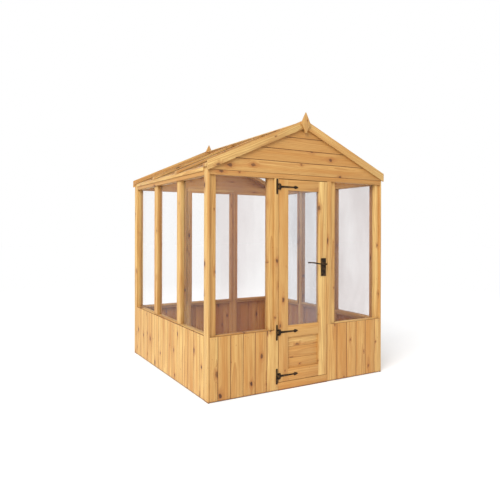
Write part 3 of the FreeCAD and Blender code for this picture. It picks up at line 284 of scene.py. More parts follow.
class PaneSettings(bpy.types.PropertyGroup):
    """The clear panes."""

    smoke: colour_setting("Smoke", "Tint of the front and right panes", 165, 136, 132)
    cool: colour_setting("Cool", "Tint of the door and roof panes", 158, 160, 170)
    clear: colour_setting("Clear", "Tint of the left and rear panes", 190, 188, 192)
    front_haze: share_setting("Front haze", "How much of the front panes shows", 0.11)
    door_haze: share_setting("Door haze", "How much of the door pane shows", 0.18)
    right_haze: share_setting("Right haze", "How much of the right panes shows", 0.08)
    clear_haze: share_setting("Clear haze", "How much of the left and rear panes shows", 0.014)
    roof_haze: share_setting("Roof haze", "How much of the roof panes shows", 0.05)
    # Painted reflection: at a slant a pane shows more of its lit tint, beside its own reflection.
    painted_sheen: share_setting("Painted sheen", "How much more of a wall pane shows at a slant", 0.5)
    roof_painted_sheen: share_setting("Roof painted sheen", "How much more of a roof pane shows at a slant", 0.03)


class IronSettings(bpy.types.PropertyGroup):
    """The black ironwork, the nails and the steel of the lock."""

    black: colour_setting("Black finish", "Paint on the hinges and handle", 34, 23, 11)
    worn: colour_setting("Worn finish", "Where the paint has rubbed thin", 96, 70, 42)
    steel: colour_setting("Steel", "Lock and spindle", 176, 176, 178)
    dull: colour_setting("Dull steel", "Dull places on the lock and spindle", 118, 116, 112)
    zinc: colour_setting("Zinc", "Nail heads", 132, 126, 118)
    blotch: colour_setting("Blotches", "Blotches on the nail heads", 92, 78, 62)
    eased: length_setting("Eased edges", "Width of the eased edge of a plate", 0.0005)
    plate_metal: length_setting("Hinge metal", "Thickness of the hinges", 0.0025)
    plate_width: length_setting("Hinge plate", "Width of the plate on the post", 0.017)
    plate_reach: length_setting("Plate screws", "Outer screws of a hinge plate, from its middle", 0.046)
    strap_root: length_setting("Strap root", "Root screws, from the back of the knuckle", 0.0188)
    root_reach: length_setting("Root screws", "Root screws, above and below the middle of the strap", 0.017)
    strap_runs: FloatVectorProperty(
        name="Strap screws", description="Screws along a strap, from its point", unit="LENGTH", size=2,
        default=(0.022, 0.105),
    )
    grip_inset: length_setting("Handle screws", "Screws of a handle plate, from its ends", 0.012)
    screw_radius: length_setting("Screw", "Half the width of a screw head", 0.0026)
    screw_rise: length_setting("Screw rise", "Height of a screw head", 0.0016)
    nail_radius: length_setting("Nail", "Half the width of a nail head", 0.0022)
    nail_rise: length_setting("Nail rise", "Height of a nail head", 0.0008)
    low_nail: length_setting("Lower nails", "Nails in the sole plate, above the ground", 0.024)
    high_nail: length_setting("Upper nails", "Nails in the sill rail, above the ground", 0.488)


class StudioSettings(bpy.types.PropertyGroup):
    """Camera, light and floor."""

    camera: FloatVectorProperty(
        name="Camera", description="Where the camera stands", subtype="XYZ", unit="LENGTH", size=3,
        default=(-2.558, -4.4565, 1.3317),
    )
    turn: FloatProperty(
        name="Turn", description="Camera turned to the right of straight ahead", unit="ROTATION",
        default=math.radians(29.942),
    )
    lean: FloatProperty(
        name="Lean", description="Camera leaned about its line of sight", unit="ROTATION",
        default=math.radians(0.147),
    )
    lens: FloatProperty(name="Lens", description="Focal length in millimetres", min=1, default=36.323)
    drop: FloatProperty(
        name="Drop", description="Picture moved down, as a share of its width", default=-0.0388
    )
    key_from: FloatVectorProperty(
        name="Key light", description="Which way the key light comes from", subtype="XYZ", size=3,
        default=(-0.68, -0.46, 0.6),
    )
    key_spread: FloatProperty(
        name="Key spread", description="Softness of the key light", unit="ROTATION", default=math.radians(40)
    )
    key_power: FloatProperty(name="Key power", description="Strength of the key light", min=0, default=2.8)
    fill: FloatProperty(name="Fill", description="Strength of the even light all round", min=0, default=0.5)
    paper: colour_setting("Floor", "Pale floor under the shed", 248, 248, 248)
    speck: colour_setting("Specks", "Faint specks in the floor", 226, 226, 226)
    near_glow: share_setting("Near glow", "White added to the floor by the shed, as it is seen", 0.2)
    far_glow: share_setting("Far glow", "White added to the floor far off, as it is seen", 0.04)
    near_reach: length_setting("Near reach", "How far out the near glow stays even", 2)
    far_reach: length_setting("Far reach", "How far out the far glow begins", 8)


class ShedSettings(bpy.types.PropertyGroup):
    """Everything that can be set from the sidebar."""

    pine: PointerProperty(type=PineSettings, name="Pine", description="Stained pine")
    seals: PointerProperty(type=SealSettings, name="Seals", description="Strips under the ridge capping")
    panes: PointerProperty(type=PaneSettings, name="Panes", description="Clear panes")
    iron: PointerProperty(type=IronSettings, name="Iron", description="Ironwork and lock")
    studio: PointerProperty(type=StudioSettings, name="Studio", description="Camera, light and floor")


class Shader:
    """The node tree of a material or of the light all round, filled one node at a time."""

    def __init__(self, owner, surface="Principled BSDF"):
        owner.use_nodes = True
        self.owner = owner
        self.tree = owner.node_tree
        self.surface = self.tree.nodes[surface]

    def feed(self, socket, value):
        """Link a socket, or set it."""
        if isinstance(value, bpy.types.NodeSocket):
            self.tree.links.new(value, socket)
        else:
            socket.default_value = value

    def add(self, kind, feeds=None, **settings):
        """A new node with its settings and its sockets fed."""
        node = self.tree.nodes.new(kind)
        for key, value in settings.items():
            setattr(node, key, value)
        for key, value in (feeds or {}).items():
            self.feed(node.inputs[key], value)
        return node

    def place(self):
        """Where a point lies at rest, in the shared frame."""
        return self.add("ShaderNodeTexCoord").outputs["Object"]

    def attribute(self, name, output="Fac"):
        """A value that the mesh carries."""
        return self.add("ShaderNodeAttribute", attribute_name=name).outputs[output]

    def work(self, operation, first, second=0.0):
        """One step of arithmetic."""
        return self.add("ShaderNodeMath", {0: first, 1: second}, operation=operation).outputs[0]

    def span(self, value, low, high, start=0.0, end=1.0):
        """A value carried over from one range to another."""
        feeds = {"Value": value, "From Min": low, "From Max": high, "To Min": start, "To Max": end}
        return self.add("ShaderNodeMapRange", feeds).outputs[0]

    def stretch(self, vector, x, y, z):
        """A vector stretched along its axes."""
        return self.add("ShaderNodeVectorMath", {0: vector, 1: (x, y, z)}, operation="MULTIPLY").outputs[0]

    def shift(self, vector, step):
        """A vector moved by another."""
        return self.add("ShaderNodeVectorMath", {0: vector, 1: step}, operation="ADD").outputs[0]

    def length(self, vector):
        """How long a vector is."""
        return self.add("ShaderNodeVectorMath", {0: vector}, operation="LENGTH").outputs["Value"]

    def noise(self, vector, scale=1.0, detail=2.0):
        """Cloudy noise, from 0 to 1."""
        feeds = {"Vector": vector, "Scale": scale, "Detail": detail}
        return self.add("ShaderNodeTexNoise", feeds).outputs["Fac"]

    def cells(self, vector, scale):
        """Cells with a point in each, where a knot may sit."""
        feeds = {"Vector": vector, "Scale": scale}
        return self.add("ShaderNodeTexVoronoi", feeds, voronoi_dimensions="2D").outputs

    def mix(self, share, first, second, kind="MIX"):
        """Two colours laid over each other."""
        node = self.add("ShaderNodeMix", data_type="RGBA", blend_type=kind)
        for number, value in zip(MIX_INPUTS, (share, first, second)):
            self.feed(node.inputs[number], value)
        return node.outputs[MIX_RESULT]

    def bumped(self, height, depth, strength):
        """A surface normal raised by a height."""
        feeds = {"Height": height, "Distance": depth, "Strength": strength}
        return self.add("ShaderNodeBump", feeds).outputs["Normal"]

    def seen(self):
        """1 where the camera looks, also through a pane or off one, and 0 where light is passed on."""
        path = self.add("ShaderNodeLightPath").outputs
        past_pane = self.work("MAXIMUM", path["Is Glossy Ray"], path["Is Transmission Ray"])
        return self.work("MAXIMUM", path["Is Camera Ray"], past_pane)

    def finish(self, **feeds):
        """Feed the surface shader and hand its owner over."""
        for key, value in feeds.items():
            self.feed(self.surface.inputs[key.replace("_", " ").title().replace("Ior", "IOR")], value)
        return self.owner


def material_shader(name):
    """The node tree of a new material."""
    return Shader(bpy.data.materials.new(name))


def pine(look):
    """Stained pine: rings round a pith that each timber keeps, knots, fibres and board-to-board tone."""
    shader = material_shader("stained_pine")
    grain = shader.attribute("grain", "Vector")
    split = shader.add("ShaderNodeSeparateXYZ", {0: grain})
    across, deep = split.outputs[1], split.outputs[2]

    ragged = shader.add("ShaderNodeTexNoise", {"Vector": grain, "Scale": KNOT_EDGE_WAVES}).outputs["Color"]
    ragged = shader.stretch(ragged, KNOT_EDGE_REACH, KNOT_EDGE_REACH, KNOT_EDGE_REACH)
    ragged = shader.shift(ragged, shader.stretch(grain, KNOT_ALONG, 1, 1))
    cell = shader.cells(ragged, look.knot_density)
    draw = shader.add("ShaderNodeSeparateColor", {0: cell["Color"]})
    pick, sound = draw.outputs[0], draw.outputs[1]
    size = shader.span(pick, look.knot_free, 1, 0, look.knot_size * look.knot_density)
    apart = cell["Distance"]
    away = shader.add("ShaderNodeVectorMath", {0: ragged, 1: cell["Position"]}, operation="SUBTRACT")
    trail = shader.length(shader.stretch(away.outputs[0], STREAK_ALONG, 1, 0))
    streak = shader.span(trail, look.knot_size * STREAK_EDGE, STREAK_CORE)
    onset = shader.span(pick, look.knot_free, look.knot_free + STREAK_ONSET)
    streak = shader.work("MULTIPLY", streak, onset)
    heart = shader.span(apart, size, shader.work("MULTIPLY", size, HEART_CORE))
    halo = shader.span(apart, shader.work("MULTIPLY", size, HALO_EDGE), size)

    dot = shader.cells(ragged, look.pin_density)
    pin_edge = look.pin_size * look.pin_density
    pins = shader.span(dot["Distance"], pin_edge, PIN_CORE * pin_edge)
    chosen = shader.add("ShaderNodeSeparateColor", {0: dot["Color"]}).outputs[0]
    pins = shader.work("MULTIPLY", pins, shader.span(chosen, PIN_FREE, 1))

    waver = shader.noise(shader.stretch(grain, WAVER_ALONG, WAVER_ACROSS, WAVER_ACROSS))
    square = shader.work("ADD", shader.work("MULTIPLY", across, across), shader.work("MULTIPLY", deep, deep))
    bent = shader.work("ADD", shader.work("SQRT", square), shader.work("MULTIPLY", waver, WAVER_REACH))
    bent = shader.work("ADD", bent, shader.work("MULTIPLY", halo, KNOT_BEND))
    ring = shader.work("FRACT", shader.work("DIVIDE", bent, look.ring_spacing))
    late = shader.work("POWER", ring, LATE_POWER)
    fibre = shader.noise(shader.stretch(grain, FIBRE_ALONG, FIBRE_ACROSS, FIBRE_ACROSS), detail=3)
    cloud = shader.noise(shader.stretch(grain, CLOUD_ALONG, CLOUD_ACROSS, CLOUD_ACROSS), detail=3)

    wood = shader.mix(shader.attribute("tone"), look.pale, look.honey)
    wood = shader.mix(shader.span(cloud, *AMBER_RANGE), wood, look.amber)
    wood = shader.mix(shader.work("MULTIPLY", late, LATE_SHARE), wood, look.ring)
    wood = shader.mix(shader.span(fibre, *FIBRE_RANGE), wood, look.ring)
    wood = shader.mix(shader.work("MULTIPLY", streak, STREAK_SHARE), wood, look.halo)
    wood = shader.mix(shader.work("MULTIPLY", halo, HALO_SHARE), wood, look.halo)
    wood = shader.mix(shader.work("MULTIPLY", heart, shader.span(sound, *SOUND_RANGE)), wood, look.knot)
    wood = shader.mix(pins, wood, look.halo)
    wood = shader.mix(shader.attribute("joint"), wood, look.joint, "MULTIPLY")
    # Painted shade on the faces that look into the shed.
    wood = shader.mix(shader.attribute("inside"), wood, look.inside, "MULTIPLY")
    ground = shader.add("ShaderNodeSeparateXYZ", {0: shader.place()}).outputs[2]
    # Painted shade along the ground at the foot of the timbers, in the joint colour.
    wood = shader.mix(shader.span(ground, look.foot, FOOT_SHADE_LEVEL, 0, FOOT_SHADE_SHARE), wood, look.joint, "MULTIPLY")
    height = shader.work("ADD", shader.work("MULTIPLY", late, LATE_RISE), fibre)
    return shader.finish(
        base_color=wood,
        roughness=shader.span(fibre, *PINE_ROUGHNESS),
        normal=shader.bumped(height, *GRAIN_BUMP),
    )


def pane_sheet(name, tint, shown, painted_sheen):
    """A clear sheet with faint smears that shows more of itself at a slant: partly its own reflection, and
    partly its lit tint as a painted reflection.
    """
    shader = material_shader(name)
    smear = shader.noise(shader.stretch(shader.place(), *SMEAR_WAVES), detail=3)
    slant = shader.work("POWER", shader.add("ShaderNodeLayerWeight").outputs["Facing"], SLANT_POWER)
    haze = shader.span(smear, SMEAR_LEAST, SMEAR_MOST, HAZE_LEAST * shown, HAZE_MOST * shown)
    return shader.finish(
        base_color=tint,
        roughness=shader.span(smear, *PANE_ROUGHNESS),
        # At a slant more of the lit tint shows: a painted reflection, beside the sheet's own specular.
        alpha=shader.work("ADD", haze, shader.work("MULTIPLY", slant, painted_sheen)),
    )


def painted_iron(look):
    """Black paint on forged plate: dimpled, rubbed thin in places."""
    shader = material_shader("painted_iron")
    place = shader.place()
    dimples = shader.noise(place, DIMPLE_WAVES)
    rubbed = shader.noise(place, RUBBED_WAVES, detail=4)
    return shader.finish(
        base_color=shader.mix(shader.span(rubbed, *RUBBED_RANGE), look.black, look.worn),
        specular_ior_level=IRON_SHINE,
        roughness=shader.span(rubbed, *IRON_ROUGHNESS),
        normal=shader.bumped(dimples, *DIMPLE_BUMP),
    )


def dull_zinc(look):
    """Weathered zinc, blotchy."""
    shader = material_shader("dull_zinc")
    blotch = shader.noise(shader.place(), BLOTCH_WAVES, detail=3)
    return shader.finish(
        base_color=shader.mix(shader.span(blotch, *BLOTCH_RANGE), look.zinc, look.blotch),
        metallic=ZINC_METAL,
        roughness=shader.span(blotch, *ZINC_ROUGHNESS),
    )


def brushed_steel(look):
    """Steel brushed lengthwise, a little dull in places."""
    shader = material_shader("brushed_steel")
    place = shader.place()
    brushing = shader.noise(shader.stretch(place, *BRUSHED_WAVES))
    dull = shader.noise(place, DULL_WAVES, detail=3)
    return shader.finish(
        base_color=shader.mix(shader.span(dull, *DULL_RANGE), look.steel, look.dull),
        metallic=1.0,
        roughness=shader.span(dull, *STEEL_ROUGHNESS),
        normal=shader.bumped(brushing, *BRUSHED_BUMP),
    )


def shared_material(name, make, look):
    """A material made once and used by every piece that asks for it."""
    return bpy.data.materials.get(name) or make(look)


def coat(piece, material):
    """Give a piece one material and no other."""
    piece.data.materials.clear()
    piece.data.materials.append(material)


def coat_nodes(nodes, material):
    """Give CAD nodes whose shape is right a better material."""
    for node in nodes:
        coat(NODES[node], material)


def only(thing):
    """Select one object and make it the active one."""
    bpy.ops.object.select_all(action="DESELECT")
    thing.select_set(True)
    bpy.context.view_layer.objects.active = thing


def solids(mesh):
    """The closed solids of a CAD node: in the order of its triangles, one ends when all edges are paired."""
    places = [tuple(round(value, PLACE_DIGITS) for value in vertex.co) for vertex in mesh.vertices]
    found = []
    faces = []
    unpaired = set()
    for polygon in mesh.polygons:
        corners = [places[index] for index in polygon.vertices]
        faces.append(corners)
        for start, end in zip(corners, corners[1:] + corners[:1]):
            if (end, start) in unpaired:
                unpaired.remove((end, start))
            else:
                unpaired.add((start, end))
        if not unpaired:
            found.append(faces)
            faces = []
    if faces:
        raise RuntimeError(f"{mesh.name} has a solid that is not closed")
    return found


def merged_copy(node, name):
    """A copy of a CAD node, each of its solids merged by itself and its flat faces made whole."""
    points = []
    faces = []
    for solid in solids(NODES[node].data):
        numbers = {}
        for corners in solid:
            for corner in corners:
                if corner not in numbers:
                    numbers[corner] = len(points)
                    points.append(corner)
            faces.append([numbers[corner] for corner in corners])
    mesh = bpy.data.meshes.new(name)
    mesh.from_pydata(points, [], faces)
    piece = bpy.data.objects.new(name, mesh)
    bpy.context.scene.collection.objects.link(piece)
    only(piece)
    bpy.ops.object.mode_set(mode="EDIT")
    bpy.ops.mesh.select_all(action="SELECT")
    bpy.ops.mesh.dissolve_limited(angle_limit=FLAT_ANGLE)
    bpy.ops.object.mode_set(mode="OBJECT")
    return piece


def ease_edges(piece, width):
    """Take the sharpness off every edge."""
    only(piece)
    bpy.ops.object.modifier_add(type="BEVEL")
    bevel = piece.modifiers[-1]
    bevel.width = width
    bevel.segments = EDGE_STEPS
    bevel.limit_method = "ANGLE"
    bevel.angle_limit = SHARP_ANGLE
    bpy.ops.object.modifier_apply(modifier=bevel.name)
    bpy.ops.object.shade_smooth_by_angle(angle=SMOOTH_ANGLE)


def timber_axes(mesh):
    """A timber's points from its middle, and its axes: along, across and through it."""
    points = np.empty(len(mesh.vertices) * 3)
    mesh.vertices.foreach_get("co", points)
    points = points.reshape(-1, 3)
    middle = points - points.mean(0)
    return middle, np.linalg.svd(middle, full_matrices=False)[2]


def tones_of(node, look):
    """The range of tones that a node's timbers are picked from, 0 for pale and 1 for honey; the sunlit
    timbers are kept paler as painted light.
    """
    if node in DEEP_TIMBERS:
        return look.deep_tone, 1
    return 0, look.sunlit_tone if node in SUNLIT_TIMBERS else 1


def lay_grain(timber, chance, tones):
    """Give a timber its own run of grain along its length, and its own tone."""
    points, axes = timber_axes(timber.data)
    pith = (
        chance.uniform(*PITH_ALONG),
        chance.uniform(*PITH_ASIDE),
        chance.choice((-1, 1)) * chance.uniform(*PITH_BEHIND),
    )
    grain = timber.data.attributes.new("grain", "FLOAT_VECTOR", "POINT")
    grain.data.foreach_set("vector", (points @ axes.T + pith).astype(np.float32).ravel())
    tone = timber.data.attributes.new("tone", "FLOAT", "POINT")
    tone.data.foreach_set("value", np.full(len(points), chance.uniform(*tones), np.float32))


def mark_joints(timber, share):
    """Mark the slanted and side faces of a board, which the joints keep in shade."""
    mesh = timber.data
    axes = timber_axes(mesh)[1]
    normals = np.empty(len(mesh.polygons) * 3)
    mesh.polygons.foreach_get("normal", normals)
    slanted = np.abs(normals.reshape(-1, 3) @ axes[2]) < SQUARE_ON
    marks = mesh.attributes.new("joint", "FLOAT", "FACE")
    marks.data.foreach_set("value", (slanted * share).astype(np.float32))


def paint_inner_shade(piece, share, everywhere):
    """Paint shade on the faces that look into the shed, or on all faces of a piece that stands wholly within
    it.
    """
    mesh = piece.data
    wall_low, wall_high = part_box("right_wall_frame")
    end_low, end_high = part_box("rear_wall_frame")
    wall_in, wall_out = wall_low.x - WALL_MARGIN, wall_high.x + WALL_MARGIN
    end_in, end_out = end_low.y - WALL_MARGIN, end_high.y + WALL_MARGIN
    marks = np.zeros(len(mesh.polygons), np.float32)
    for number, polygon in enumerate(mesh.polygons):
        x, y, z = polygon.center
        facing = polygon.normal
        from_side = wall_in < abs(x) < wall_out and facing.x * x < -FACING_IN * abs(x)
        from_end = end_in < abs(y) < end_out and facing.y * y < -FACING_IN * abs(y)
        under_roof = z > wall_high.z and abs(y) < end_in and abs(x) < wall_in
        from_roof = under_roof and facing.z < -FACING_DOWN
        if everywhere or from_side or from_end or from_roof:
            marks[number] = share
    mesh.attributes.new("inside", "FLOAT", "FACE").data.foreach_set("value", marks)


def stand_for(piece, node):
    """Put a piece in a CAD node's place."""
    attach(piece, NODES[node]["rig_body"])
    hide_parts(node)


def finish_wood(piece, kind):
    """Ease a piece's edges, and give each timber in it a run of grain, its painted joint shade and its
    painted inner shade.
    """
    look = bpy.context.scene.potting_shed.pine
    chance = random.Random(f"{look.seed} {kind}")
    ease_edges(piece, look.eased)
    bpy.ops.object.mode_set(mode="EDIT")
    bpy.ops.mesh.select_all(action="SELECT")
    bpy.ops.mesh.separate(type="LOOSE")
    bpy.ops.object.mode_set(mode="OBJECT")
    for timber in bpy.context.selected_objects:
        lay_grain(timber, chance, tones_of(kind, look))
        mark_joints(timber, look.open_joint if kind in WALL_BOARDS + GABLE_BOARDS else look.tight_joint)
    bpy.context.view_layer.objects.active = piece
    if len(bpy.context.selected_objects) > 1:
        bpy.ops.object.join()
    # Painted shade within the shed, deeper on the wall boards.
    paint_inner_shade(piece, look.board_shade if kind in WALL_BOARDS else look.frame_shade, kind in BEADS)
    coat(piece, shared_material("stained_pine", pine, look))


def dress_timbers(nodes):
    """Finished copies of timber nodes in their place."""
    for node in nodes:
        piece = merged_copy(node, node + "_wood")
        finish_wood(piece, node)
        stand_for(piece, node)


def solid_boxes(node):
    """Low and high corner of every solid of a CAD node."""
    boxes = []
    for solid in solids(NODES[node].data):
        corners = np.array([corner for face in solid for corner in face])
        boxes.append((corners.min(0), corners.max(0)))
    return boxes


def pick_faces(piece, wanted):
    """Leave the wanted faces of the active piece picked, ready for editing."""
    bpy.ops.object.mode_set(mode="EDIT")
    bpy.ops.mesh.select_mode(type="FACE")
    bpy.ops.mesh.select_all(action="DESELECT")
    bpy.ops.object.mode_set(mode="OBJECT")
    for polygon in piece.data.polygons:
        polygon.select = wanted(polygon)
    bpy.ops.object.mode_set(mode="EDIT")


def round_head(name, radius, rise, sides):
    """A low round head that looks up, its foot sunk half as deep as it stands proud."""
    bpy.ops.object.select_all(action="DESELECT")
    bpy.ops.mesh.primitive_cylinder_add(vertices=sides, radius=radius, depth=rise)
    head = bpy.context.active_object
    head.name = name
    pick_faces(head, lambda polygon: polygon.normal.z > SQUARE_ON)
    bpy.ops.mesh.inset(thickness=radius * CROWN_INSET)
    bpy.ops.transform.translate(value=(0, 0, rise / 2))
    bpy.ops.object.mode_set(mode="OBJECT")
    return head


def cut_slot(head, width, depth):
    """Saw a slot for the driver across a head."""
    top = max(corner[2] for corner in head.bound_box)
    bpy.ops.object.select_all(action="DESELECT")
    bpy.ops.mesh.primitive_cube_add(size=1, location=(0, 0, top))
    saw = bpy.context.active_object
    saw.scale = (1, width, depth * 2)
    only(head)
    bpy.ops.object.modifier_add(type="BOOLEAN")
    head.modifiers[-1].object = saw
    bpy.ops.object.modifier_apply(modifier=head.modifiers[-1].name)
    only(saw)
    bpy.ops.object.delete()
    only(head)


def set_heads(head, facing, spots, chance):
    """Turn a head to face its wall, then repeat it over the spots, each at its own angle."""
    only(head)
    axis, quarter = QUARTER_TURNS[facing]
    turned = TURN_SENSE * quarter * math.pi / 2
    bpy.ops.object.mode_set(mode="EDIT")
    bpy.ops.mesh.select_all(action="SELECT")
    bpy.ops.transform.rotate(value=turned, orient_axis=axis, center_override=ORIGIN)
    place = Vector(ORIGIN)
    for number, spot in enumerate(spots):
        step = Vector(spot) - place
        if number:
            bpy.ops.mesh.duplicate_move(TRANSFORM_OT_translate={"value": step})
        else:
            bpy.ops.transform.translate(value=step)
        place = Vector(spot)
        spin = chance.uniform(0, math.pi)
        bpy.ops.transform.rotate(value=spin, orient_axis=facing[1], center_override=place)
    bpy.ops.mesh.select_all(action="SELECT")
    bpy.ops.object.mode_set(mode="OBJECT")
    bpy.ops.object.shade_smooth_by_angle(angle=SMOOTH_ANGLE)


class SHED_OT_wall_frames(bpy.types.Operator):
    """Frames of the walls, door posts, threshold and stops"""

    bl_idname = "shed.wall_frames"
    bl_label = "Wall frames"

    def execute(self, context):
        dress_timbers(WALL_FRAMES)
        return {"FINISHED"}


class SHED_OT_cover_strips(bpy.types.Operator):
    """Strips over the corners, door posts and heads"""

    bl_idname = "shed.cover_strips"
    bl_label = "Cover strips"

    def execute(self, context):
        dress_timbers(COVER_STRIPS)
        return {"FINISHED"}


class SHED_OT_wall_boards(bpy.types.Operator):
    """Tongue-and-groove boards of the walls and gables"""

    bl_idname = "shed.wall_boards"
    bl_label = "Wall boards"

    def execute(self, context):
        dress_timbers(WALL_BOARDS + GABLE_BOARDS)
        return {"FINISHED"}


class SHED_OT_gable_trim(bpy.types.Operator):
    """Gable frames, bargeboards and finials"""

    bl_idname = "shed.gable_trim"
    bl_label = "Gable trim"

    def execute(self, context):
        dress_timbers(GABLE_TRIM)
        return {"FINISHED"}


class SHED_OT_roof_timbers(bpy.types.Operator):
    """Eaves, roof bars, rails, glazing strips and ridge"""

    bl_idname = "shed.roof_timbers"
    bl_label = "Roof timbers"

    def execute(self, context):
        dress_timbers(ROOF_TIMBERS)
        return {"FINISHED"}


class SHED_OT_ridge_seals(bpy.types.Operator):
    """Strips that close the gap between the roof panes and the ridge capping"""

    bl_idname = "shed.ridge_seals"
    bl_label = "Ridge seals"

    def execute(self, context):
        look = context.scene.potting_shed.seals
        fall, level = math.sin(look.pitch), math.cos(look.pitch)
        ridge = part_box("ridge_capping")[1].z - look.cap / level
        middle = look.height / 2 + look.clear
        first = -look.bay * (ROOF_BAYS - 1) / 2
        out = (look.run * level - middle * fall, first, ridge - look.run * fall - middle * level)
        bpy.ops.object.select_all(action="DESELECT")
        bpy.ops.mesh.primitive_cube_add(size=1)
        strips = context.active_object
        strips.name = "ridge_seal_strips"
        bpy.ops.object.mode_set(mode="EDIT")
        bpy.ops.transform.resize(value=(look.width, look.length, look.height), center_override=ORIGIN)
        bpy.ops.transform.rotate(value=TURN_SENSE * look.pitch, orient_axis="Y", center_override=ORIGIN)
        bpy.ops.transform.translate(value=out)
        for _ in range(ROOF_BAYS - 1):
            bpy.ops.mesh.duplicate_move(TRANSFORM_OT_translate={"value": (0, look.bay, 0)})
        bpy.ops.mesh.select_all(action="SELECT")
        bpy.ops.mesh.duplicate()
        bpy.ops.transform.rotate(value=math.pi, orient_axis="Z", center_override=ORIGIN)
        bpy.ops.object.mode_set(mode="OBJECT")
        finish_wood(strips, "ridge_seals")
        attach(strips, NODES["ridge_capping"]["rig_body"])
        return {"FINISHED"}


class SHED_OT_door_timbers(bpy.types.Operator):
    """Stiles, rails and panel boards of the door"""

    bl_idname = "shed.door_timbers"
    bl_label = "Door timbers"

    def execute(self, context):
        dress_timbers(DOOR_TIMBERS)
        return {"FINISHED"}


class SHED_OT_beads(bpy.types.Operator):
    """Beads that hold the panes"""

    bl_idname = "shed.beads"
    bl_label = "Beads"

    def execute(self, context):
        dress_timbers(BEADS)
        return {"FINISHED"}


class SHED_OT_panes(bpy.types.Operator):
    """Clear panes of the walls, roof and door"""

    bl_idname = "shed.panes"
    bl_label = "Panes"

    def execute(self, context):
        look = context.scene.potting_shed.panes
        coat_nodes(FRONT_PANES, pane_sheet("front_sheet", look.smoke, look.front_haze, look.painted_sheen))
        coat_nodes(DOOR_PANES, pane_sheet("door_sheet", look.cool, look.door_haze, look.painted_sheen))
        coat_nodes(RIGHT_PANES, pane_sheet("right_sheet", look.smoke, look.right_haze, look.painted_sheen))
        coat_nodes(CLEAR_PANES, pane_sheet("clear_sheet", look.clear, look.clear_haze, look.painted_sheen))
        coat_nodes(ROOF_PANES, pane_sheet("roof_sheet", look.cool, look.roof_haze, look.roof_painted_sheen))
        return {"FINISHED"}


class SHED_OT_ironwork(bpy.types.Operator):
    """Hinges, handle plates, lever and knob in black iron"""

    bl_idname = "shed.ironwork"
    bl_label = "Ironwork"

    def execute(self, context):
        look = context.scene.potting_shed.iron
        paint = shared_material("painted_iron", painted_iron, look)
        for node in IRONWORK:
            piece = merged_copy(node, node + "_iron")
            ease_edges(piece, look.eased)
            coat(piece, paint)
            stand_for(piece, node)
        return {"FINISHED"}


class SHED_OT_screws(bpy.types.Operator):
    """Slotted screws of the hinges and handle plates"""

    bl_idname = "shed.screws"
    bl_label = "Screws"

    def execute(self, context):
        look = context.scene.potting_shed.iron
        paint = shared_material("painted_iron", painted_iron, look)
        chance = random.Random("screws")
        plates, straps, grips, inner_grips = [], [], [], []
        for low, high in solid_boxes("hinge_plates"):
            across = low[0] + look.plate_width / 2
            middle = (low[2] + high[2]) / 2
            front = high[1] - look.plate_metal
            plates += [(across, front, middle + rise) for rise in (-look.plate_reach, 0, look.plate_reach)]
        for low, high in solid_boxes("hinge_straps"):
            middle = (low[2] + high[2]) / 2
            front = high[1] - look.plate_metal
            root = low[0] + look.strap_root
            straps += [(root, front, middle + rise) for rise in (-look.root_reach, look.root_reach)]
            straps += [(high[0] - run, front, middle) for run in look.strap_runs]
        for number, (low, high) in enumerate(sorted(solid_boxes("handle_plates"), key=lambda box: box[0][1])):
            across = (low[0] + high[0]) / 2
            face = high[1] if number else low[1]
            spots = inner_grips if number else grips
            spots += [(across, face, low[2] + look.grip_inset), (across, face, high[2] - look.grip_inset)]
        sets = (
            ("hinge_plate_screws", "-Y", plates, "shed"),
            ("hinge_strap_screws", "-Y", straps, "door"),
            ("handle_screws", "-Y", grips, "door"),
            ("inner_handle_screws", "+Y", inner_grips, "door"),
        )
        for name, facing, spots, body in sets:
            head = round_head(name, look.screw_radius, look.screw_rise, SCREW_SIDES)
            cut_slot(head, look.screw_radius * SLOT_WIDTH, look.screw_rise * SLOT_DEPTH)
            set_heads(head, facing, spots, chance)
            coat(head, paint)
            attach(head, body)
        return {"FINISHED"}


class SHED_OT_nails(bpy.types.Operator):
    """Round nails that hold the wall boards to the sole plates and sill rails"""

    bl_idname = "shed.nails"
    bl_label = "Nails"

    def execute(self, context):
        look = context.scene.potting_shed.iron
        zinc = shared_material("dull_zinc", dull_zinc, look)
        chance = random.Random("nails")
        walls = (
            ("front_nails", "-Y", ("front_left_cladding", "front_right_cladding")),
            ("left_nails", "-X", ("left_wall_cladding",)),
            ("right_nails", "+X", ("right_wall_cladding",)),
            ("rear_nails", "+Y", ("rear_wall_cladding",)),
        )
        for name, facing, nodes in walls:
            along = 0 if facing[1] == "Y" else 1
            spots = []
            for node in nodes:
                for low, high in solid_boxes(node):
                    face = (low if facing[0] == "-" else high)[1 - along]
                    quarter = (high[along] - low[along]) / 4
                    for run in (low[along] + quarter, high[along] - quarter):
                        for level in (look.low_nail, look.high_nail):
                            wander = chance.uniform(-NAIL_WANDER, NAIL_WANDER)
                            spot = [0, 0, level + wander]
                            spot[along] = run + wander
                            spot[1 - along] = face
                            spots.append(spot)
            head = round_head(name, look.nail_radius, look.nail_rise, NAIL_SIDES)
            set_heads(head, facing, spots, chance)
            coat(head, zinc)
            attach(head, "shed")
        return {"FINISHED"}


class SHED_OT_lock(bpy.types.Operator):
    """Lock case, latch, keep and spindle in steel"""

    bl_idname = "shed.lock"
    bl_label = "Lock"

    def execute(self, context):
        coat_nodes(LOCK_PARTS, brushed_steel(context.scene.potting_shed.iron))
        return {"FINISHED"}


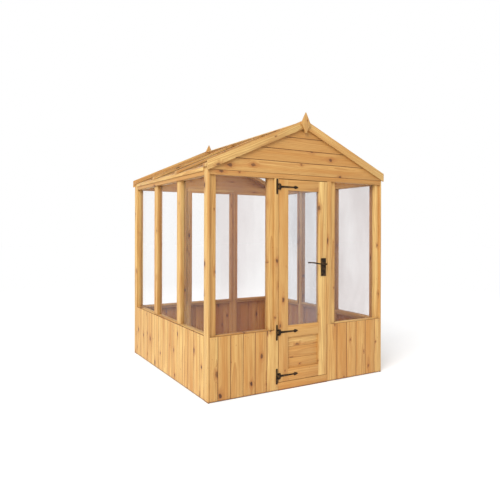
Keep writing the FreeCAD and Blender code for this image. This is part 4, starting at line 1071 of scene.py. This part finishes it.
def paper_floor(look):
    """Pale paper that takes the shed's shadow and reads white to the camera."""
    shader = material_shader("floor_paper")
    place = shader.place()
    speck = shader.noise(place, SPECK_WAVES)
    apart = shader.length(place)
    glow = shader.span(apart, look.near_reach, look.far_reach, look.near_glow, look.far_glow)
    return shader.finish(
        base_color=shader.mix(shader.span(speck, *SPECK_RANGE), look.paper, look.speck),
        roughness=1.0,
        specular_ior_level=0.0,
        emission_color=WHITE,
        emission_strength=shader.work("MULTIPLY", shader.seen(), glow),
    )


def even_light(look):
    """White all round to the camera, and an even light of its own strength to the shed."""
    shader = Shader(bpy.data.worlds.new("studio_light"), "Background")
    return shader.finish(color=WHITE, strength=shader.span(shader.seen(), 0, 1, look.fill, 1))


class SHED_OT_studio(bpy.types.Operator):
    """Floor, soft light and camera"""

    bl_idname = "shed.studio"
    bl_label = "Studio"

    def execute(self, context):
        look = context.scene.potting_shed.studio
        bpy.ops.object.select_all(action="DESELECT")
        bpy.ops.mesh.primitive_plane_add(size=FLOOR_SIZE, location=(0, 0, CAD_BOX[0][2] - FLOOR_BELOW))
        floor = context.active_object
        floor.name = "studio_floor"
        coat(floor, paper_floor(look))

        context.scene.world = even_light(look)

        away = Vector(look.key_from)
        turned = (-away).to_track_quat("-Z", "Y").to_euler()
        bpy.ops.object.light_add(type="SUN", location=away * KEY_DISTANCE, rotation=turned)
        key = context.active_object
        key.name = "key_light"
        key.data.angle = look.key_spread
        key.data.energy = look.key_power

        level = Euler((math.pi / 2, 0, -look.turn)).to_matrix()
        leaned = level @ Matrix.Rotation(look.lean, 3, "Z")
        bpy.ops.object.camera_add(location=look.camera, rotation=leaned.to_euler())
        camera = context.active_object
        camera.name = "camera"
        camera.data.lens = look.lens
        camera.data.sensor_width = SENSOR_WIDTH
        camera.data.shift_y = look.drop
        context.scene.camera = camera
        context.scene.view_settings.view_transform = "Standard"
        return {"FINISHED"}


class SHED_PT_sidebar(bpy.types.Panel):
    """Builds the shed piece by piece"""

    bl_idname = "SHED_PT_sidebar"
    bl_label = "Potting shed"
    bl_space_type = "VIEW_3D"
    bl_region_type = "UI"
    bl_category = "Potting shed"

    def draw(self, context):
        for step in STEPS:
            self.layout.operator(step.bl_idname)
        settings = context.scene.potting_shed
        for group in (settings.pine, settings.seals, settings.panes, settings.iron, settings.studio):
            box = self.layout.box()
            for name in group.__annotations__:
                box.prop(group, name)


SETTINGS = (PineSettings, SealSettings, PaneSettings, IronSettings, StudioSettings, ShedSettings)
STEPS = (
    SHED_OT_wall_frames,
    SHED_OT_cover_strips,
    SHED_OT_wall_boards,
    SHED_OT_gable_trim,
    SHED_OT_roof_timbers,
    SHED_OT_ridge_seals,
    SHED_OT_door_timbers,
    SHED_OT_beads,
    SHED_OT_panes,
    SHED_OT_ironwork,
    SHED_OT_screws,
    SHED_OT_nails,
    SHED_OT_lock,
    SHED_OT_studio,
)


def register():
    for group in SETTINGS + STEPS + (SHED_PT_sidebar,):
        bpy.utils.register_class(group)
    bpy.types.Scene.potting_shed = PointerProperty(
        type=ShedSettings, name="Potting shed", description="Settings of the potting shed"
    )


def unregister():
    del bpy.types.Scene.potting_shed
    for group in reversed(SETTINGS + STEPS + (SHED_PT_sidebar,)):
        bpy.utils.unregister_class(group)


def main():
    register()
    bpy.ops.shed.wall_frames()
    bpy.ops.shed.cover_strips()
    bpy.ops.shed.wall_boards()
    bpy.ops.shed.gable_trim()
    bpy.ops.shed.roof_timbers()
    bpy.ops.shed.ridge_seals()
    bpy.ops.shed.door_timbers()
    bpy.ops.shed.beads()
    bpy.ops.shed.panes()
    bpy.ops.shed.ironwork()
    bpy.ops.shed.screws()
    bpy.ops.shed.nails()
    bpy.ops.shed.lock()
    bpy.ops.shed.studio()


if __name__ == "__main__":
    main()
